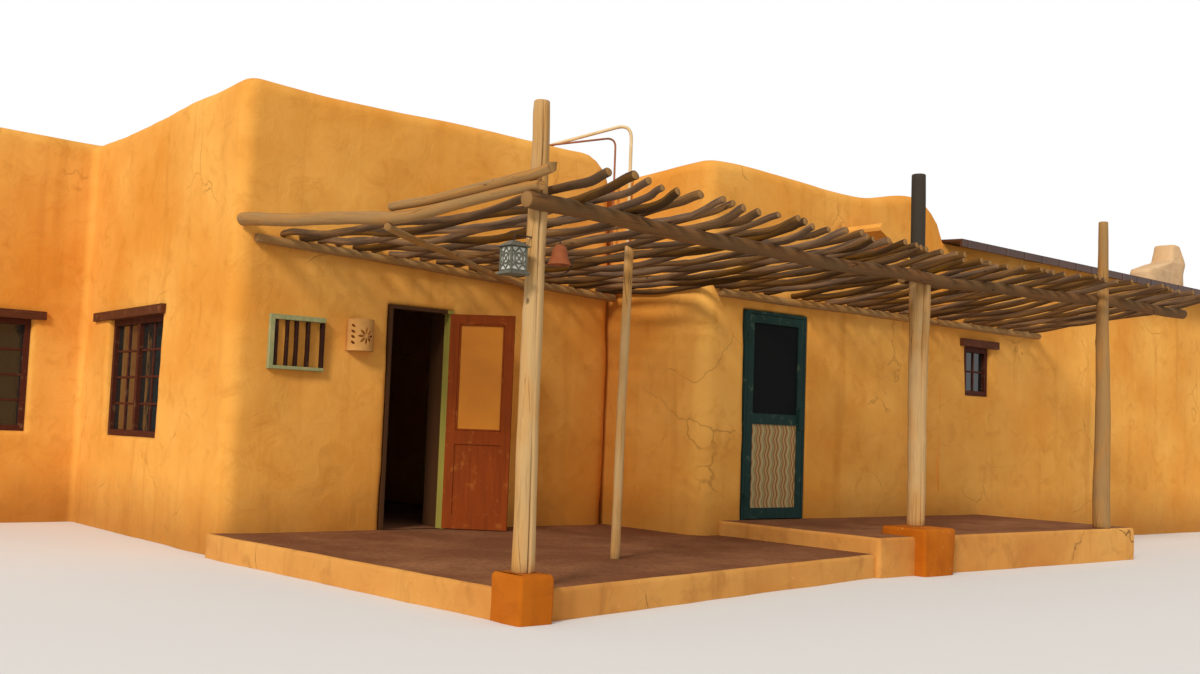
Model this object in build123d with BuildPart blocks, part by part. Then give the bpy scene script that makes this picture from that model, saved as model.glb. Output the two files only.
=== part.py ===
from build123d import *
import math
import os

# An adobe house with a latilla-roofed portal, in millimetres. X runs along the
# fronts, Y goes away from the viewer, Z is up from the lowest ground. The
# origin is under the middle of the whole plan.

# Lengths along the fronts, left to right
wing_length = 2550
main_length = 4270
entry_length = 3930
side_length = 7400

# Depths, measured from the main block's front face
main_depth = 7400
wing_setback = 3900
entry_step_out = 1390
portal_reach = 4480

# Heights
patio_rise = 200
terrace_rise = 143
main_parapet = 3980
entry_parapet = 3750
side_wall_height = 3380
main_roof_drop = 420
entry_roof_drop = 380
roof_slab = 220

# Masonry
wall = 400
corner_radius = 170
parapet_radius = 130
parapet_inner_radius = 70
parapet_end_radius = 380

# Outlines of the entry's raised shoulder, patio and terrace
shoulder_length = 1500
shoulder_rise = 130
shoulder_swell = 91
shoulder_start_slope = 0.25
shoulder_radius = 260
shoulder_foot = 420
patio_side = 90
patio_lip = 150
terrace_from_entry = 280
terrace_lip = 110
terrace_past_post = 520

# Levels and lines that follow from them
house_length = wing_length + main_length + entry_length + side_length
wing_x = -house_length / 2
main_x = wing_x + wing_length
entry_x = main_x + main_length
side_x = entry_x + entry_length
side_end_x = side_x + side_length
front_y = (portal_reach - main_depth) / 2
back_y = front_y + main_depth
wing_front_y = front_y + wing_setback
entry_front_y = front_y - entry_step_out
side_back_y = wing_front_y
patio_z = patio_rise
terrace_z = patio_z + terrace_rise
main_top = patio_z + main_parapet
entry_top = patio_z + entry_parapet
side_top = patio_z + side_wall_height
main_roof_top = main_top - main_roof_drop
entry_roof_top = entry_top - entry_roof_drop
main_roof_low = main_roof_top - roof_slab
entry_roof_low = entry_roof_top - roof_slab
sky = main_top + entry_top

# Doorways: distance of the left jamb from its block's left face, clear wall
# opening and height over the floor
main_door_left = 1550
main_door_opening = 700
main_door_head = 2090
entry_door_left = 600
entry_door_opening = 920
entry_door_head = 2130
jamb = 32
jamb_depth = 110
door_gap = 6
door_clearance_below = 10

# Windows: left or near edge, size and sill over the patio
casement_width = 1480
casement_height = 1190
casement_sill = 760
main_window_from_corner = 1630
side_window_left = 530
side_window_width = 500
side_window_height = 590
side_window_sill = 1580
window_frame = 60
window_frame_depth = 90
window_setback = 60
glass = 5
lintel_height = 90
lintel_depth = 300
lintel_projection = 30
lintel_near_run = 80
lintel_run = 420
lintel_end_run = 130

# Doors and their hinges
main_leaf_thickness = 42
main_stile = 90
main_lock_rail = 130
main_lock_rail_height = 930
main_panel = 18
main_open_angle = 136
screen_thickness = 32
screen_stile = 85
screen_mid_rail = 110
screen_mid_height = 960
panel_thickness = 12
mesh = 2
latch_inset = 12
latch_depth = 28
latch_below = 40
latch_above = 70
hinge_pin_radius = 5
hinge_barrel_radius = 9
hinge_offset = 12
hinge_length = 90
hinge_gap = 1
hinge_fit = 0.05
hinge_leaf_width = 40
hinge_inset = 180
hinges = 2

# Portal: footings, posts, beams and poles
rest_gap = 0.3
post_sides = 16
log_sides = 12
pole_sides = 6
left_post_from_corner = 290
left_post_out = 3950
middle_post_from_entry = 1070
middle_post_out = 3150
right_post_from_entry = 4210
right_post_out = 3250
inner_post_from_corner = 2030
inner_post_out = 2780
left_footing_width = 280
left_footing_depth = 340
left_footing_rise = 100
middle_footing_width = 460
middle_footing_depth = 500
middle_footing_rise = 220
middle_footing_left = 60
middle_footing_front = 70
footing_edge = 25
left_post_base_radius = 72
left_post_radius = 59
left_post_top = 3050
post_taper = 10
middle_post_base_radius = 79
middle_post_radius = 100
middle_pole_radius = 68
middle_post_top = 3500
right_post_base_radius = 88
right_post_radius = 48
right_post_top = 3460
inner_post_radius = 38
beam_radius = 55
beam_left_height = 2390
beam_middle_height = 2415
beam_right_height = 2520
beam_end_height = 2600
beam_left_overhang = 150
beam_tail = 400
beam_cantilever = 1750
beam_ahead = 62
pole_set_back = 32
edge_log_radius = 58
edge_log_tip_radius = 33
edge_log_wall_height = 2690
edge_log_middle_height = 2440
upper_log_radius = 33
edge_side_room = 3
edge_bow = 90
edge_wall_from_corner = 60
upper_rest = 0.5
upper_log_lift = 60
seat_room = 0.6
brace_gap = 0.6
pole_radius = 27
ledger_radius = 40
ledger_left_height = 2540
ledger_height = 2400
latilla_spacing = 175
latilla_radius = 31
latilla_level_run = 120
latilla_sag = 60
latilla_overhang = 470
latilla_overhang_vary = 56
latilla_rise = 70
latilla_wander = 14
latilla_vary = 4
latilla_side_room = 45
upper_log_past_beam = 180
lower_log_past_beam = 60
brace_left_out = 2450
brace_right_from_corner = 3130
brace_past = 60

# Shed roof of the side wing, hood, chimney
metal_sheet = 30
shed_slope = 3
shed_overhang = 260
fascia = 90
hood_from_entry = 2040
hood_width = 600
hood_out = 520
hood_thickness = 100
hood_edge = 25
hood_height = 3140
hood_tilt = 28
chimney_width = 480
chimney_depth = 380
chimney_height = 4220
chimney_mouth = 260
chimney_knee_height = 3940
chimney_shoulder = 680
chimney_shoulder_height = 3760
chimney_radius = 60

# Things on the walls
sconce_left = 1120
sconce_radius = 125
sconce_height = 290
sconce_bottom = 1630
sconce_wall = 14
rack_left = 350
rack_width = 530
rack_height = 480
rack_bottom = 1420
rack_bar = 36
rack_depth = 40

# Pipes: water pipe and thinner copper pipe, up from the roof and over the parapet
pipe_sides = 8
pipe_steps = 16
pipe_foot = 2900
pipe_stub = 440
cream_pipe_radius = 18
cream_pipe_roof_from_side = 700
cream_pipe_roof_back = 120
cream_pipe_peak = 4270
cream_pipe_from_side = 35
cream_pipe_front = 230
cream_pipe_bend = 150
copper_pipe_radius = 11
copper_pipe_roof_from_side = 765
copper_pipe_roof_back = 80
copper_pipe_peak = 4140
copper_pipe_from_side = 85
copper_pipe_front = 30
copper_pipe_bend = 90

# Lantern and bell on the left post
hook_radius = 6
hook_rise = 40
hook_sides = 8
lantern_out = 190
lantern_front = 30
lantern_top = 2130
lantern_sides = 4
lantern_width = 124
lantern_flare = 160
lantern_cap_width = 44
lantern_base_height = 22
lantern_body_height = 150
lantern_roof_height = 38
bell_out = 120
bell_front = 90
bell_bottom = 2010
bell_radius = 80
bell_waist_radius = 56
bell_waist_height = 45
bell_shoulder_radius = 46
bell_shoulder_height = 105
bell_crown_radius = 24
bell_height = 130
bell_wall = 8
bell_sides = 16

os.makedirs("parts", exist_ok=True)


def box_between(x0, x1, y0, y1, z0, z1, mode=Mode.ADD):
    """A box given by its two limits on each axis, added to the open part."""
    with Locations(((x0 + x1) / 2, (y0 + y1) / 2, (z0 + z1) / 2)):
        Box(x1 - x0, y1 - y0, z1 - z0, mode=mode)


def write(part, label):
    """Labels a finished piece and writes its file."""
    part.label = label
    export_step(part, f"parts/{label}.step")


def wall_piece(mass, label, x0, x1, y0, y1, z0=0, z1=sky):
    """Cuts one wall out of the block's masonry by the limits of its plan and height."""
    with BuildPart() as piece:
        add(mass)
        box_between(x0, x1, y0, y1, z0, z1, mode=Mode.INTERSECT)
    write(piece.part, label)


def log(points, radii, sides=log_sides, mode=Mode.ADD):
    """Lofts a many-sided pole through points, with a radius at each, in the open part, an edge on top."""
    sections = []
    for i, (centre, radius) in enumerate(zip(points, radii)):
        before = Vector(*points[max(i - 1, 0)])
        after = Vector(*points[min(i + 1, len(points) - 1)])
        across = Vector(1, 0, 0) if abs((after - before).normalized().X) < 0.9 else Vector(0, 1, 0)
        with BuildSketch(Plane(origin=centre, x_dir=across, z_dir=after - before)) as section:
            RegularPolygon(radius, sides, rotation=90)
        sections.append(section.sketch)
    loft(sections, ruled=True, mode=mode)


# Doorways, by the limits of each hole
main_door_x0 = main_x + main_door_left
main_door_x1 = main_door_x0 + main_door_opening
main_door_top = patio_z + main_door_head
entry_door_x0 = entry_x + entry_door_left
entry_door_x1 = entry_door_x0 + entry_door_opening
entry_door_top = terrace_z + entry_door_head
inner_front = entry_front_y + wall
inner_back = side_back_y - wall


class Window:
    """A window in a wall face: along X or Y, which way is inward, its limits and its lintel's runs."""

    def __init__(self, along, face, inward, start, width, sill, height, runs):
        self.along = along
        self.face = face
        self.inward = inward
        self.start = start
        self.end = start + width
        self.bottom = patio_z + sill
        self.top = self.bottom + height
        self.lintel_start = start - runs[0]
        self.lintel_end = self.end + runs[1]

    def slab(self, outer, inner, start, end, bottom, top, mode=Mode.ADD):
        """A box between two depths behind the wall face and two limits along it."""
        near = self.face + self.inward * outer
        far = self.face + self.inward * inner
        low, high = min(near, far), max(near, far)
        if self.along == "x":
            box_between(start, end, low, high, bottom, top, mode)
        else:
            box_between(low, high, start, end, bottom, top, mode)

    def cut(self):
        """Cuts the hole through the wall and the bed of its lintel."""
        self.slab(0, wall, self.start, self.end, self.bottom, self.top, Mode.SUBTRACT)
        bed_top = self.top + lintel_height
        self.slab(0, lintel_depth, self.lintel_start, self.lintel_end, self.top, bed_top, Mode.SUBTRACT)


def casement(along, face, inward, start, runs):
    """A pair of casements of the house's usual size."""
    return Window(along, face, inward, start, casement_width, casement_sill, casement_height, runs)


def middle(low, high):
    """Where a casement starts that stands in the middle between two limits."""
    return (low + high - casement_width) / 2


even_runs = (lintel_end_run, lintel_end_run)
main_left_light = casement("y", main_x, 1, front_y + main_window_from_corner, (lintel_near_run, lintel_run))
wing_light = casement("x", wing_front_y, 1, middle(wing_x, main_x), even_runs)
side_light = Window(
    "x", entry_front_y, 1, side_x + side_window_left,
    side_window_width, side_window_sill, side_window_height, even_runs,
)
rear_main_lights = [
    casement("x", back_y, -1, middle(wing_x, main_x), even_runs),
    casement("x", back_y, -1, middle(main_x, entry_x), even_runs),
    casement("y", entry_x, -1, middle(side_back_y, back_y), even_runs),
]
rear_entry_light = casement("x", side_back_y, -1, middle(entry_x, side_x), even_runs)
rear_side_light = casement("x", side_back_y, -1, middle(side_x, side_end_x), even_runs)

# What is worn off the parapet's end over the entry: a block less a round
# along each of the two walls that meet there
end_x = entry_x - parapet_end_radius
end_y = front_y + parapet_end_radius
end_z = main_top - parapet_end_radius
with BuildPart() as parapet_end:
    box_between(end_x, entry_x, front_y, end_y, end_z, main_top)
    with Locations((end_x, (front_y + end_y) / 2, end_z)):
        Cylinder(parapet_end_radius, parapet_end_radius, rotation=(90, 0, 0), mode=Mode.SUBTRACT)
    with Locations(((end_x + entry_x) / 2, end_y, end_z)):
        Cylinder(parapet_end_radius, parapet_end_radius, rotation=(0, 90, 0), mode=Mode.SUBTRACT)

# Adobe mass of the main block and the wing: one L-shaped plan, rounded at its
# free corners, with a parapet rounded along its top
with BuildPart() as main_mass:
    with BuildSketch():
        with BuildLine():
            Polyline(
                (main_x, front_y),
                (entry_x, front_y),
                (entry_x, back_y),
                (wing_x, back_y),
                (wing_x, wing_front_y),
                (main_x, wing_front_y),
                close=True,
            )
        make_face()
        fillet(vertices().filter_by(lambda v: v.X == wing_x or v.Y in (front_y, back_y)), corner_radius)
    extrude(amount=main_top)
    fillet(faces().sort_by(Axis.Z)[-1].edges(), parapet_radius)
    with BuildSketch():
        with BuildLine():
            Polyline(
                (main_x + wall, front_y + wall),
                (entry_x - wall, front_y + wall),
                (entry_x - wall, back_y - wall),
                (wing_x + wall, back_y - wall),
                (wing_x + wall, wing_front_y + wall),
                (main_x + wall, wing_front_y + wall),
                close=True,
            )
        make_face()
    extrude(amount=sky, mode=Mode.SUBTRACT)
    fillet(faces().sort_by(Axis.Z)[-1].inner_wires()[0].edges(), parapet_inner_radius)
    add(parapet_end.part, mode=Mode.SUBTRACT)
    box_between(
        main_door_x0, main_door_x1, front_y, front_y + wall, patio_z, main_door_top, mode=Mode.SUBTRACT
    )
    for light in (main_left_light, wing_light, *rear_main_lights):
        light.cut()

main = main_mass.part
wall_piece(main, "wing_front_wall", wing_x, main_x, wing_front_y, wing_front_y + wall)
wall_piece(main, "wing_end_wall", wing_x, wing_x + wall, wing_front_y + wall, back_y - wall)
wall_piece(main, "main_rear_wall", wing_x, entry_x, back_y - wall, back_y)
wall_piece(main, "main_left_wall", main_x, main_x + wall, front_y + wall, wing_front_y + wall)
wall_piece(main, "main_front_left_wall", main_x, main_door_x0, front_y, front_y + wall)
wall_piece(main, "main_front_right_wall", main_door_x1, entry_x, front_y, front_y + wall)
wall_piece(
    main, "main_over_door_wall", main_door_x0, main_door_x1, front_y, front_y + wall, z0=main_door_top
)
wall_piece(main, "main_right_wall", entry_x - wall, entry_x, front_y + wall, back_y - wall)


# Adobe mass of the entry block, which steps out in front of the main block
# and fills the little gap behind that block's rounded corner
with BuildPart() as entry_mass:
    with BuildSketch():
        with BuildLine():
            Polyline(
                (entry_x, entry_front_y),
                (side_x, entry_front_y),
                (side_x, side_back_y),
                (entry_x, side_back_y),
                close=True,
            )
        make_face()
        fillet(vertices().filter_by(lambda v: v.X == entry_x and v.Y == entry_front_y), corner_radius)
    extrude(amount=entry_top)
    fillet(faces().sort_by(Axis.Z)[-1].edges(), parapet_radius)
    with BuildSketch(Plane.XZ.offset(-entry_front_y)):
        with BuildLine():
            Spline(
                (side_x - shoulder_length, entry_top - parapet_radius),
                (side_x - shoulder_length / 2, entry_top + shoulder_swell),
                (side_x - shoulder_radius, entry_top + shoulder_rise),
                tangents=((1, shoulder_start_slope), (1, 0)),
            )
            RadiusArc(
                (side_x - shoulder_radius, entry_top + shoulder_rise),
                (side_x, entry_top + shoulder_rise - shoulder_radius),
                shoulder_radius,
            )
            Polyline(
                (side_x, entry_top + shoulder_rise - shoulder_radius),
                (side_x, entry_top - shoulder_foot),
                (side_x - shoulder_length, entry_top - shoulder_foot),
                (side_x - shoulder_length, entry_top - parapet_radius),
            )
        make_face()
    extrude(amount=-wall)
    box_between(entry_x - corner_radius, entry_x, front_y, front_y + corner_radius, 0, entry_top)
    add(main, mode=Mode.SUBTRACT)
    box_between(entry_x + wall, side_x, inner_front, inner_back, 0, entry_roof_low, Mode.SUBTRACT)
    box_between(entry_x + wall, side_x - wall, inner_front, inner_back, entry_roof_low, sky, Mode.SUBTRACT)
    box_between(entry_x, entry_x + wall, front_y + wall, inner_back, 0, sky, Mode.SUBTRACT)
    box_between(
        entry_door_x0, entry_door_x1, entry_front_y, inner_front, terrace_z, entry_door_top, Mode.SUBTRACT
    )
    rear_entry_light.cut()

entry = entry_mass.part
wall_piece(entry, "entry_left_wall", entry_x - corner_radius, entry_x + wall, inner_front, front_y + wall)
wall_piece(entry, "entry_front_left_wall", entry_x, entry_door_x0, entry_front_y, inner_front)
wall_piece(entry, "entry_front_right_wall", entry_door_x1, side_x, entry_front_y, inner_front)
wall_piece(
    entry, "entry_over_door_wall", entry_door_x0, entry_door_x1,
    entry_front_y, inner_front, z0=entry_door_top,
)
wall_piece(entry, "entry_right_parapet", side_x - wall, side_x, inner_front, inner_back)
wall_piece(entry, "entry_rear_wall", entry_x, side_x, inner_back, side_back_y)

# Walls of the side wing, lower, with tops that follow its shed roof
shed_plane = Plane(
    origin=((side_x + side_end_x) / 2, entry_front_y, side_top),
    x_dir=(1, 0, 0),
    z_dir=(0, -math.sin(math.radians(shed_slope)), math.cos(math.radians(shed_slope))),
)
with BuildPart() as side_mass:
    with BuildSketch():
        with BuildLine():
            Polyline(
                (side_x, entry_front_y),
                (side_end_x, entry_front_y),
                (side_end_x, side_back_y),
                (side_x, side_back_y),
                close=True,
            )
        make_face()
        fillet(vertices().filter_by(lambda v: v.X == side_end_x), corner_radius)
    extrude(amount=sky)
    box_between(side_x, side_end_x - wall, inner_front, inner_back, 0, sky, mode=Mode.SUBTRACT)
    side_light.cut()
    rear_side_light.cut()
    split(bisect_by=shed_plane, keep=Keep.BOTTOM)

side = side_mass.part
wall_piece(side, "side_front_wall", side_x, side_end_x, entry_front_y, inner_front)
wall_piece(side, "side_end_wall", side_end_x - wall, side_end_x, inner_front, inner_back)
wall_piece(side, "side_rear_wall", side_x, side_end_x, inner_back, side_back_y)

# Floors: the main block's is level with the patio, the entry's with the terrace
with BuildPart() as main_floor:
    box_between(main_x + wall, entry_x - wall, front_y + wall, back_y - wall, 0, patio_z)
    box_between(main_door_x0, main_door_x1, front_y, front_y + wall, 0, patio_z)
write(main_floor.part, "main_floor")

with BuildPart() as wing_floor:
    box_between(wing_x + wall, main_x + wall, wing_front_y + wall, back_y - wall, 0, patio_z)
write(wing_floor.part, "wing_floor")

with BuildPart() as entry_floor:
    box_between(entry_x + wall, side_end_x - wall, inner_front, inner_back, 0, terrace_z)
    box_between(entry_x, entry_x + wall, front_y + wall, inner_back, 0, terrace_z)
    box_between(entry_door_x0, entry_door_x1, entry_front_y, inner_front, 0, terrace_z)
write(entry_floor.part, "entry_floor")

# Flat roofs inside the parapets
with BuildPart() as main_roof:
    box_between(main_x + wall, entry_x - wall, front_y + wall, back_y - wall, main_roof_low, main_roof_top)
write(main_roof.part, "main_roof")

with BuildPart() as wing_roof:
    box_between(
        wing_x + wall, main_x + wall, wing_front_y + wall, back_y - wall, main_roof_low, main_roof_top
    )
write(wing_roof.part, "wing_roof")

with BuildPart() as entry_roof:
    box_between(entry_x + wall, side_x - wall, inner_front, inner_back, entry_roof_low, entry_roof_top)
    box_between(entry_x, entry_x + wall, front_y + wall, inner_back, entry_roof_low, entry_roof_top)
write(entry_roof.part, "entry_roof")

# Chimney: a stack that narrows to its mouth, with a sloping shoulder beside
# it, up from the floor inside the front wall
chimney_x1 = side_end_x - wall
chimney_x0 = chimney_x1 - chimney_width
mouth_x0 = (chimney_x0 + chimney_x1 - chimney_mouth) / 2
mouth_x1 = mouth_x0 + chimney_mouth
with BuildPart() as chimney:
    with BuildSketch(Plane.XZ.offset(-inner_front)):
        with BuildLine():
            Polyline(
                (chimney_x0 - chimney_shoulder, terrace_z),
                (chimney_x1, terrace_z),
                (chimney_x1, patio_z + chimney_knee_height),
                (mouth_x1, patio_z + chimney_height),
                (mouth_x0, patio_z + chimney_height),
                (chimney_x0, patio_z + chimney_knee_height),
                (chimney_x0 - chimney_shoulder, patio_z + chimney_shoulder_height),
                close=True,
            )
        make_face()
        fillet(vertices().filter_by(lambda v: v.Y > side_top), chimney_radius)
    extrude(amount=-chimney_depth)
write(chimney.part, "chimney")

# Shed roof of the side wing: a sheet on the slope with a fascia at its eave
shed_run = (inner_back + wall - entry_front_y) / math.cos(math.radians(shed_slope))
with BuildPart() as side_roof:
    with BuildSketch(shed_plane):
        with Locations((0, (shed_run - shed_overhang) / 2)):
            Rectangle(side_length, shed_run + shed_overhang)
    extrude(amount=metal_sheet)
    with BuildSketch(shed_plane.offset(metal_sheet)):
        with Locations((0, -shed_overhang + metal_sheet / 2)):
            Rectangle(side_length, metal_sheet)
    extrude(amount=-fascia)
    add(chimney.part, mode=Mode.SUBTRACT)
write(side_roof.part, "side_roof")

# Footings of the left and the middle post
left_post_x = main_x + left_post_from_corner
left_post_y = front_y - left_post_out
middle_post_x = entry_x + middle_post_from_entry
middle_post_y = front_y - middle_post_out
right_post_x = entry_x + right_post_from_entry
right_post_y = front_y - right_post_out
inner_post_x = main_x + inner_post_from_corner
inner_post_y = front_y - inner_post_out
with BuildPart() as post_footings:
    with Locations((left_post_x, left_post_y)):
        Box(
            left_footing_width, left_footing_depth, patio_z + left_footing_rise,
            align=(Align.CENTER, Align.CENTER, Align.MIN),
        )
    with Locations((middle_post_x - middle_footing_left, middle_post_y - middle_footing_front)):
        Box(
            middle_footing_width, middle_footing_depth, patio_z + middle_footing_rise,
            align=(Align.CENTER, Align.CENTER, Align.MIN),
        )
    chamfer(faces().filter_by(Axis.Z).sort_by(Axis.Z)[2:].edges(), footing_edge)
write(post_footings.part, "post_footings")

# Patio in front of the main block, and the terrace a step higher in front of
# the entry and the side wing
terrace_x = entry_x + terrace_from_entry
with BuildPart() as lower_patio:
    with BuildSketch():
        with BuildLine():
            Polyline(
                (main_x - patio_side, front_y),
                (left_post_x - left_footing_width / 2, left_post_y - patio_lip),
                (terrace_x, middle_post_y - patio_lip),
                (terrace_x, entry_front_y),
                (entry_x, entry_front_y),
                (entry_x, front_y),
                close=True,
            )
        make_face()
    extrude(amount=patio_z)
    add(post_footings.part, mode=Mode.SUBTRACT)
    add(entry, mode=Mode.SUBTRACT)
    add(main, mode=Mode.SUBTRACT)
write(lower_patio.part, "lower_patio")

with BuildPart() as upper_terrace:
    box_between(
        terrace_x, right_post_x + terrace_past_post,
        right_post_y - terrace_lip, entry_front_y, 0, terrace_z,
    )
    add(post_footings.part, mode=Mode.SUBTRACT)
write(upper_terrace.part, "upper_terrace")


def point_at(points, x):
    """The Y and Z of a run of points where it passes a given X."""
    for (x0, y0, z0), (x1, y1, z1) in zip(points, points[1:]):
        if x <= x1 or (x1, y1, z1) == points[-1]:
            share = (x - x0) / (x1 - x0)
            return y0 + share * (y1 - y0), z0 + share * (z1 - z0)


# The two front beams: one from the left post over the middle post's saddle,
# one behind the middle post's pole and past the right post
left_beam_y = left_post_y - beam_ahead
middle_beam_y = middle_post_y + pole_set_back - middle_pole_radius - beam_radius - rest_gap
beam_slope = (middle_beam_y - left_beam_y) / (middle_post_x - left_post_x)
left_beam_x0 = left_post_x - beam_left_overhang
left_beam_x1 = middle_post_x + beam_tail
left_beam_middle_x = (left_post_x + middle_post_x) / 2
left_beam = [
    (left_beam_x0, left_beam_y - beam_slope * beam_left_overhang, patio_z + beam_left_height),
    (left_beam_middle_x, (left_beam_y + middle_beam_y) / 2, patio_z + beam_middle_height),
    (left_beam_x1, middle_beam_y + beam_slope * beam_tail, patio_z + beam_right_height),
]
pole_y = middle_post_y + pole_set_back
right_beam_y0 = pole_y + middle_pole_radius + beam_radius + rest_gap
right_beam_x0 = middle_post_x - middle_pole_radius
right_beam_x1 = right_post_x + beam_cantilever
right_beam_y1 = right_post_y + beam_ahead
right_beam_slope = (right_beam_y1 - right_beam_y0) / (right_post_x - right_beam_x0)
right_beam = [
    (right_beam_x0, right_beam_y0, patio_z + beam_right_height),
    (right_post_x, right_beam_y1, patio_z + beam_end_height),
    (right_beam_x1, right_beam_y1 + right_beam_slope * beam_cantilever, patio_z + beam_end_height),
]
with BuildPart() as front_beams:
    log(left_beam, [beam_radius] * 3)
    log(right_beam, [beam_radius] * 3)
write(front_beams.part, "front_beams")


def notch_for_beams():
    """Cuts the two front beams' rooms out of the open part."""
    for points in (left_beam, right_beam):
        log(points, [beam_radius + rest_gap] * 3, mode=Mode.SUBTRACT)


# Posts: whole logs, each notched round the beam that it carries
left_post_foot = patio_z + left_footing_rise
with BuildPart() as left_post:
    log(
        [(left_post_x, left_post_y, left_post_foot), (left_post_x, left_post_y, left_beam[0][2]),
         (left_post_x, left_post_y, patio_z + left_post_top)],
        [left_post_base_radius, left_post_radius, left_post_radius - post_taper],
        post_sides,
    )
    notch_for_beams()
write(left_post.part, "left_post")

saddle_z = point_at(left_beam, middle_post_x)[1] - beam_radius / 2
middle_post_foot = patio_z + middle_footing_rise
pole_foot = saddle_z - middle_post_radius
pole_top = patio_z + middle_post_top
with BuildPart() as middle_post:
    log(
        [(middle_post_x, middle_post_y, middle_post_foot), (middle_post_x, middle_post_y, saddle_z)],
        [middle_post_base_radius, middle_post_radius],
        post_sides,
    )
    log(
        [(middle_post_x, pole_y, pole_foot), (middle_post_x, pole_y, pole_top)],
        [middle_pole_radius, middle_pole_radius],
        post_sides,
    )
    notch_for_beams()
write(middle_post.part, "middle_post")

with BuildPart() as right_post:
    log(
        [(right_post_x, right_post_y, terrace_z), (right_post_x, right_post_y, patio_z + right_post_top)],
        [right_post_base_radius, right_post_radius],
        post_sides,
    )
    notch_for_beams()
write(right_post.part, "right_post")

# Ledger poles fixed along the walls, under the latillas' wall ends
ledger_y = front_y - ledger_radius - rest_gap
entry_ledger_y = entry_front_y - ledger_radius - rest_gap
ledger = [
    (main_x + corner_radius, ledger_y, patio_z + ledger_left_height),
    (entry_x - ledger_radius, ledger_y, patio_z + ledger_height),
]
entry_ledger = [
    (entry_x + corner_radius, entry_ledger_y, patio_z + ledger_height),
    (right_beam_x1, entry_ledger_y, patio_z + ledger_height),
]
with BuildPart() as wall_ledgers:
    log(ledger, [ledger_radius] * 2)
    log(entry_ledger, [ledger_radius] * 2)
write(wall_ledgers.part, "wall_ledgers")

# Edge logs down the left side: a thick one from the wall to the front beam's
# end, and a thinner one laid along its top and out past the post
edge_x = left_post_x - left_post_radius - edge_log_tip_radius - edge_side_room
edge_beam_y, edge_beam_z = point_at(left_beam, edge_x)
edge_middle_radius = (edge_log_radius + edge_log_tip_radius) / 2
lower_tip_z = edge_beam_z + beam_radius + edge_log_tip_radius + rest_gap
edge_middle_y = front_y - brace_left_out
lower_log = [
    (main_x + edge_wall_from_corner, front_y - rest_gap, patio_z + edge_log_wall_height),
    (edge_x - edge_bow, edge_middle_y, patio_z + edge_log_middle_height),
    (edge_x, edge_beam_y, lower_tip_z),
    (edge_x, edge_beam_y - lower_log_past_beam, lower_tip_z),
]
lower_radii = [edge_log_radius, edge_middle_radius, edge_log_tip_radius, edge_log_tip_radius]
upper_start_z = lower_log[1][2] + edge_middle_radius + upper_log_radius + rest_gap
upper_front_z = lower_tip_z + edge_log_tip_radius + upper_log_radius + rest_gap
upper_rise = (upper_front_z - upper_start_z) / (edge_middle_y - edge_beam_y)
upper_log = [
    (edge_x - edge_bow, edge_middle_y, upper_start_z + upper_rest),
    (edge_x, edge_beam_y, upper_front_z + upper_rest),
    (edge_x, edge_beam_y - upper_log_past_beam, upper_front_z + upper_rest + upper_log_lift),
]
with BuildPart() as edge_logs:
    log(lower_log, lower_radii)
    log(upper_log, [upper_log_radius] * 3)
write(edge_logs.part, "edge_logs")

# Brace: a thin pole lashed under the lower edge log and the wall ledger
brace_end_x = main_x + brace_right_from_corner
brace_start = Vector(
    edge_x - edge_bow, edge_middle_y, lower_log[1][2] - edge_middle_radius - pole_radius - brace_gap
)
brace_end = Vector(
    brace_end_x, ledger_y, point_at(ledger, brace_end_x)[1] - ledger_radius - pole_radius - brace_gap
)
brace_way = (brace_end - brace_start).normalized()
with BuildPart() as brace_pole:
    ends = [brace_start - brace_way * brace_past, brace_end + brace_way * ledger_radius / 2]
    log([tuple(end) for end in ends], [pole_radius] * 2, pole_sides)
write(brace_pole.part, "brace_pole")


def latilla(x, index):
    """One roof pole at X: level over the ledger, sagging, over the front beam and out with a rising tip."""
    radius = latilla_radius + latilla_vary * math.sin(1.7 * index)
    on_main = x < entry_x
    wall_y = front_y if on_main else entry_front_y
    rail = ledger if on_main else entry_ledger
    beam = left_beam if x < middle_post_x else right_beam
    tip_x = x + latilla_wander * math.sin(2.4 * index)
    beam_y, beam_z = point_at(beam, tip_x)
    rail_z = point_at(rail, max(x, rail[0][0]))[1]
    start_z = rail_z + ledger_radius + radius + seat_room
    tip_slope = math.atan2(latilla_rise, latilla_overhang - latilla_overhang_vary)
    front_z = beam_z + (beam_radius + radius) / math.cos(tip_slope) + rest_gap
    middle_y = (wall_y + beam_y) / 2
    middle_z = (start_z + front_z) / 2 - latilla_sag * (wall_y - beam_y) / left_post_out
    tip_y = beam_y - latilla_overhang - latilla_overhang_vary * math.sin(1.3 * index)
    return [
        (x, wall_y - rest_gap, start_z),
        (x, wall_y - latilla_level_run, start_z),
        (x + latilla_wander * math.sin(3.1 * index), middle_y, middle_z),
        (tip_x, beam_y, front_z),
        (tip_x, tip_y, front_z + latilla_rise),
    ], radius


def bay(x0, x1):
    """Latillas evenly spaced over one bay, kept off the corner where the entry block steps out."""
    count = max(int((x1 - x0) / latilla_spacing), 1)
    step = (x1 - x0) / count
    poles = []
    for i in range(count):
        x = x0 + step * (i + 0.5)
        if abs(x - entry_x) < latilla_side_room:
            x = entry_x - latilla_side_room
        poles.append(latilla(x, i))
    return poles


post_room = middle_pole_radius + latilla_radius + latilla_vary + latilla_wander + rest_gap
bays = {
    "latillas_left": bay(left_post_x + left_post_radius, middle_post_x - post_room),
    "latillas_middle": bay(middle_post_x + post_room, right_post_x - right_post_base_radius),
    "latillas_right": bay(right_post_x + right_post_base_radius, right_beam_x1 - latilla_side_room),
}
for label, poles in bays.items():
    with BuildPart() as latillas:
        for points, radius in poles:
            log(points, [radius] * len(points), pole_sides)
    write(latillas.part, label)

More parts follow.
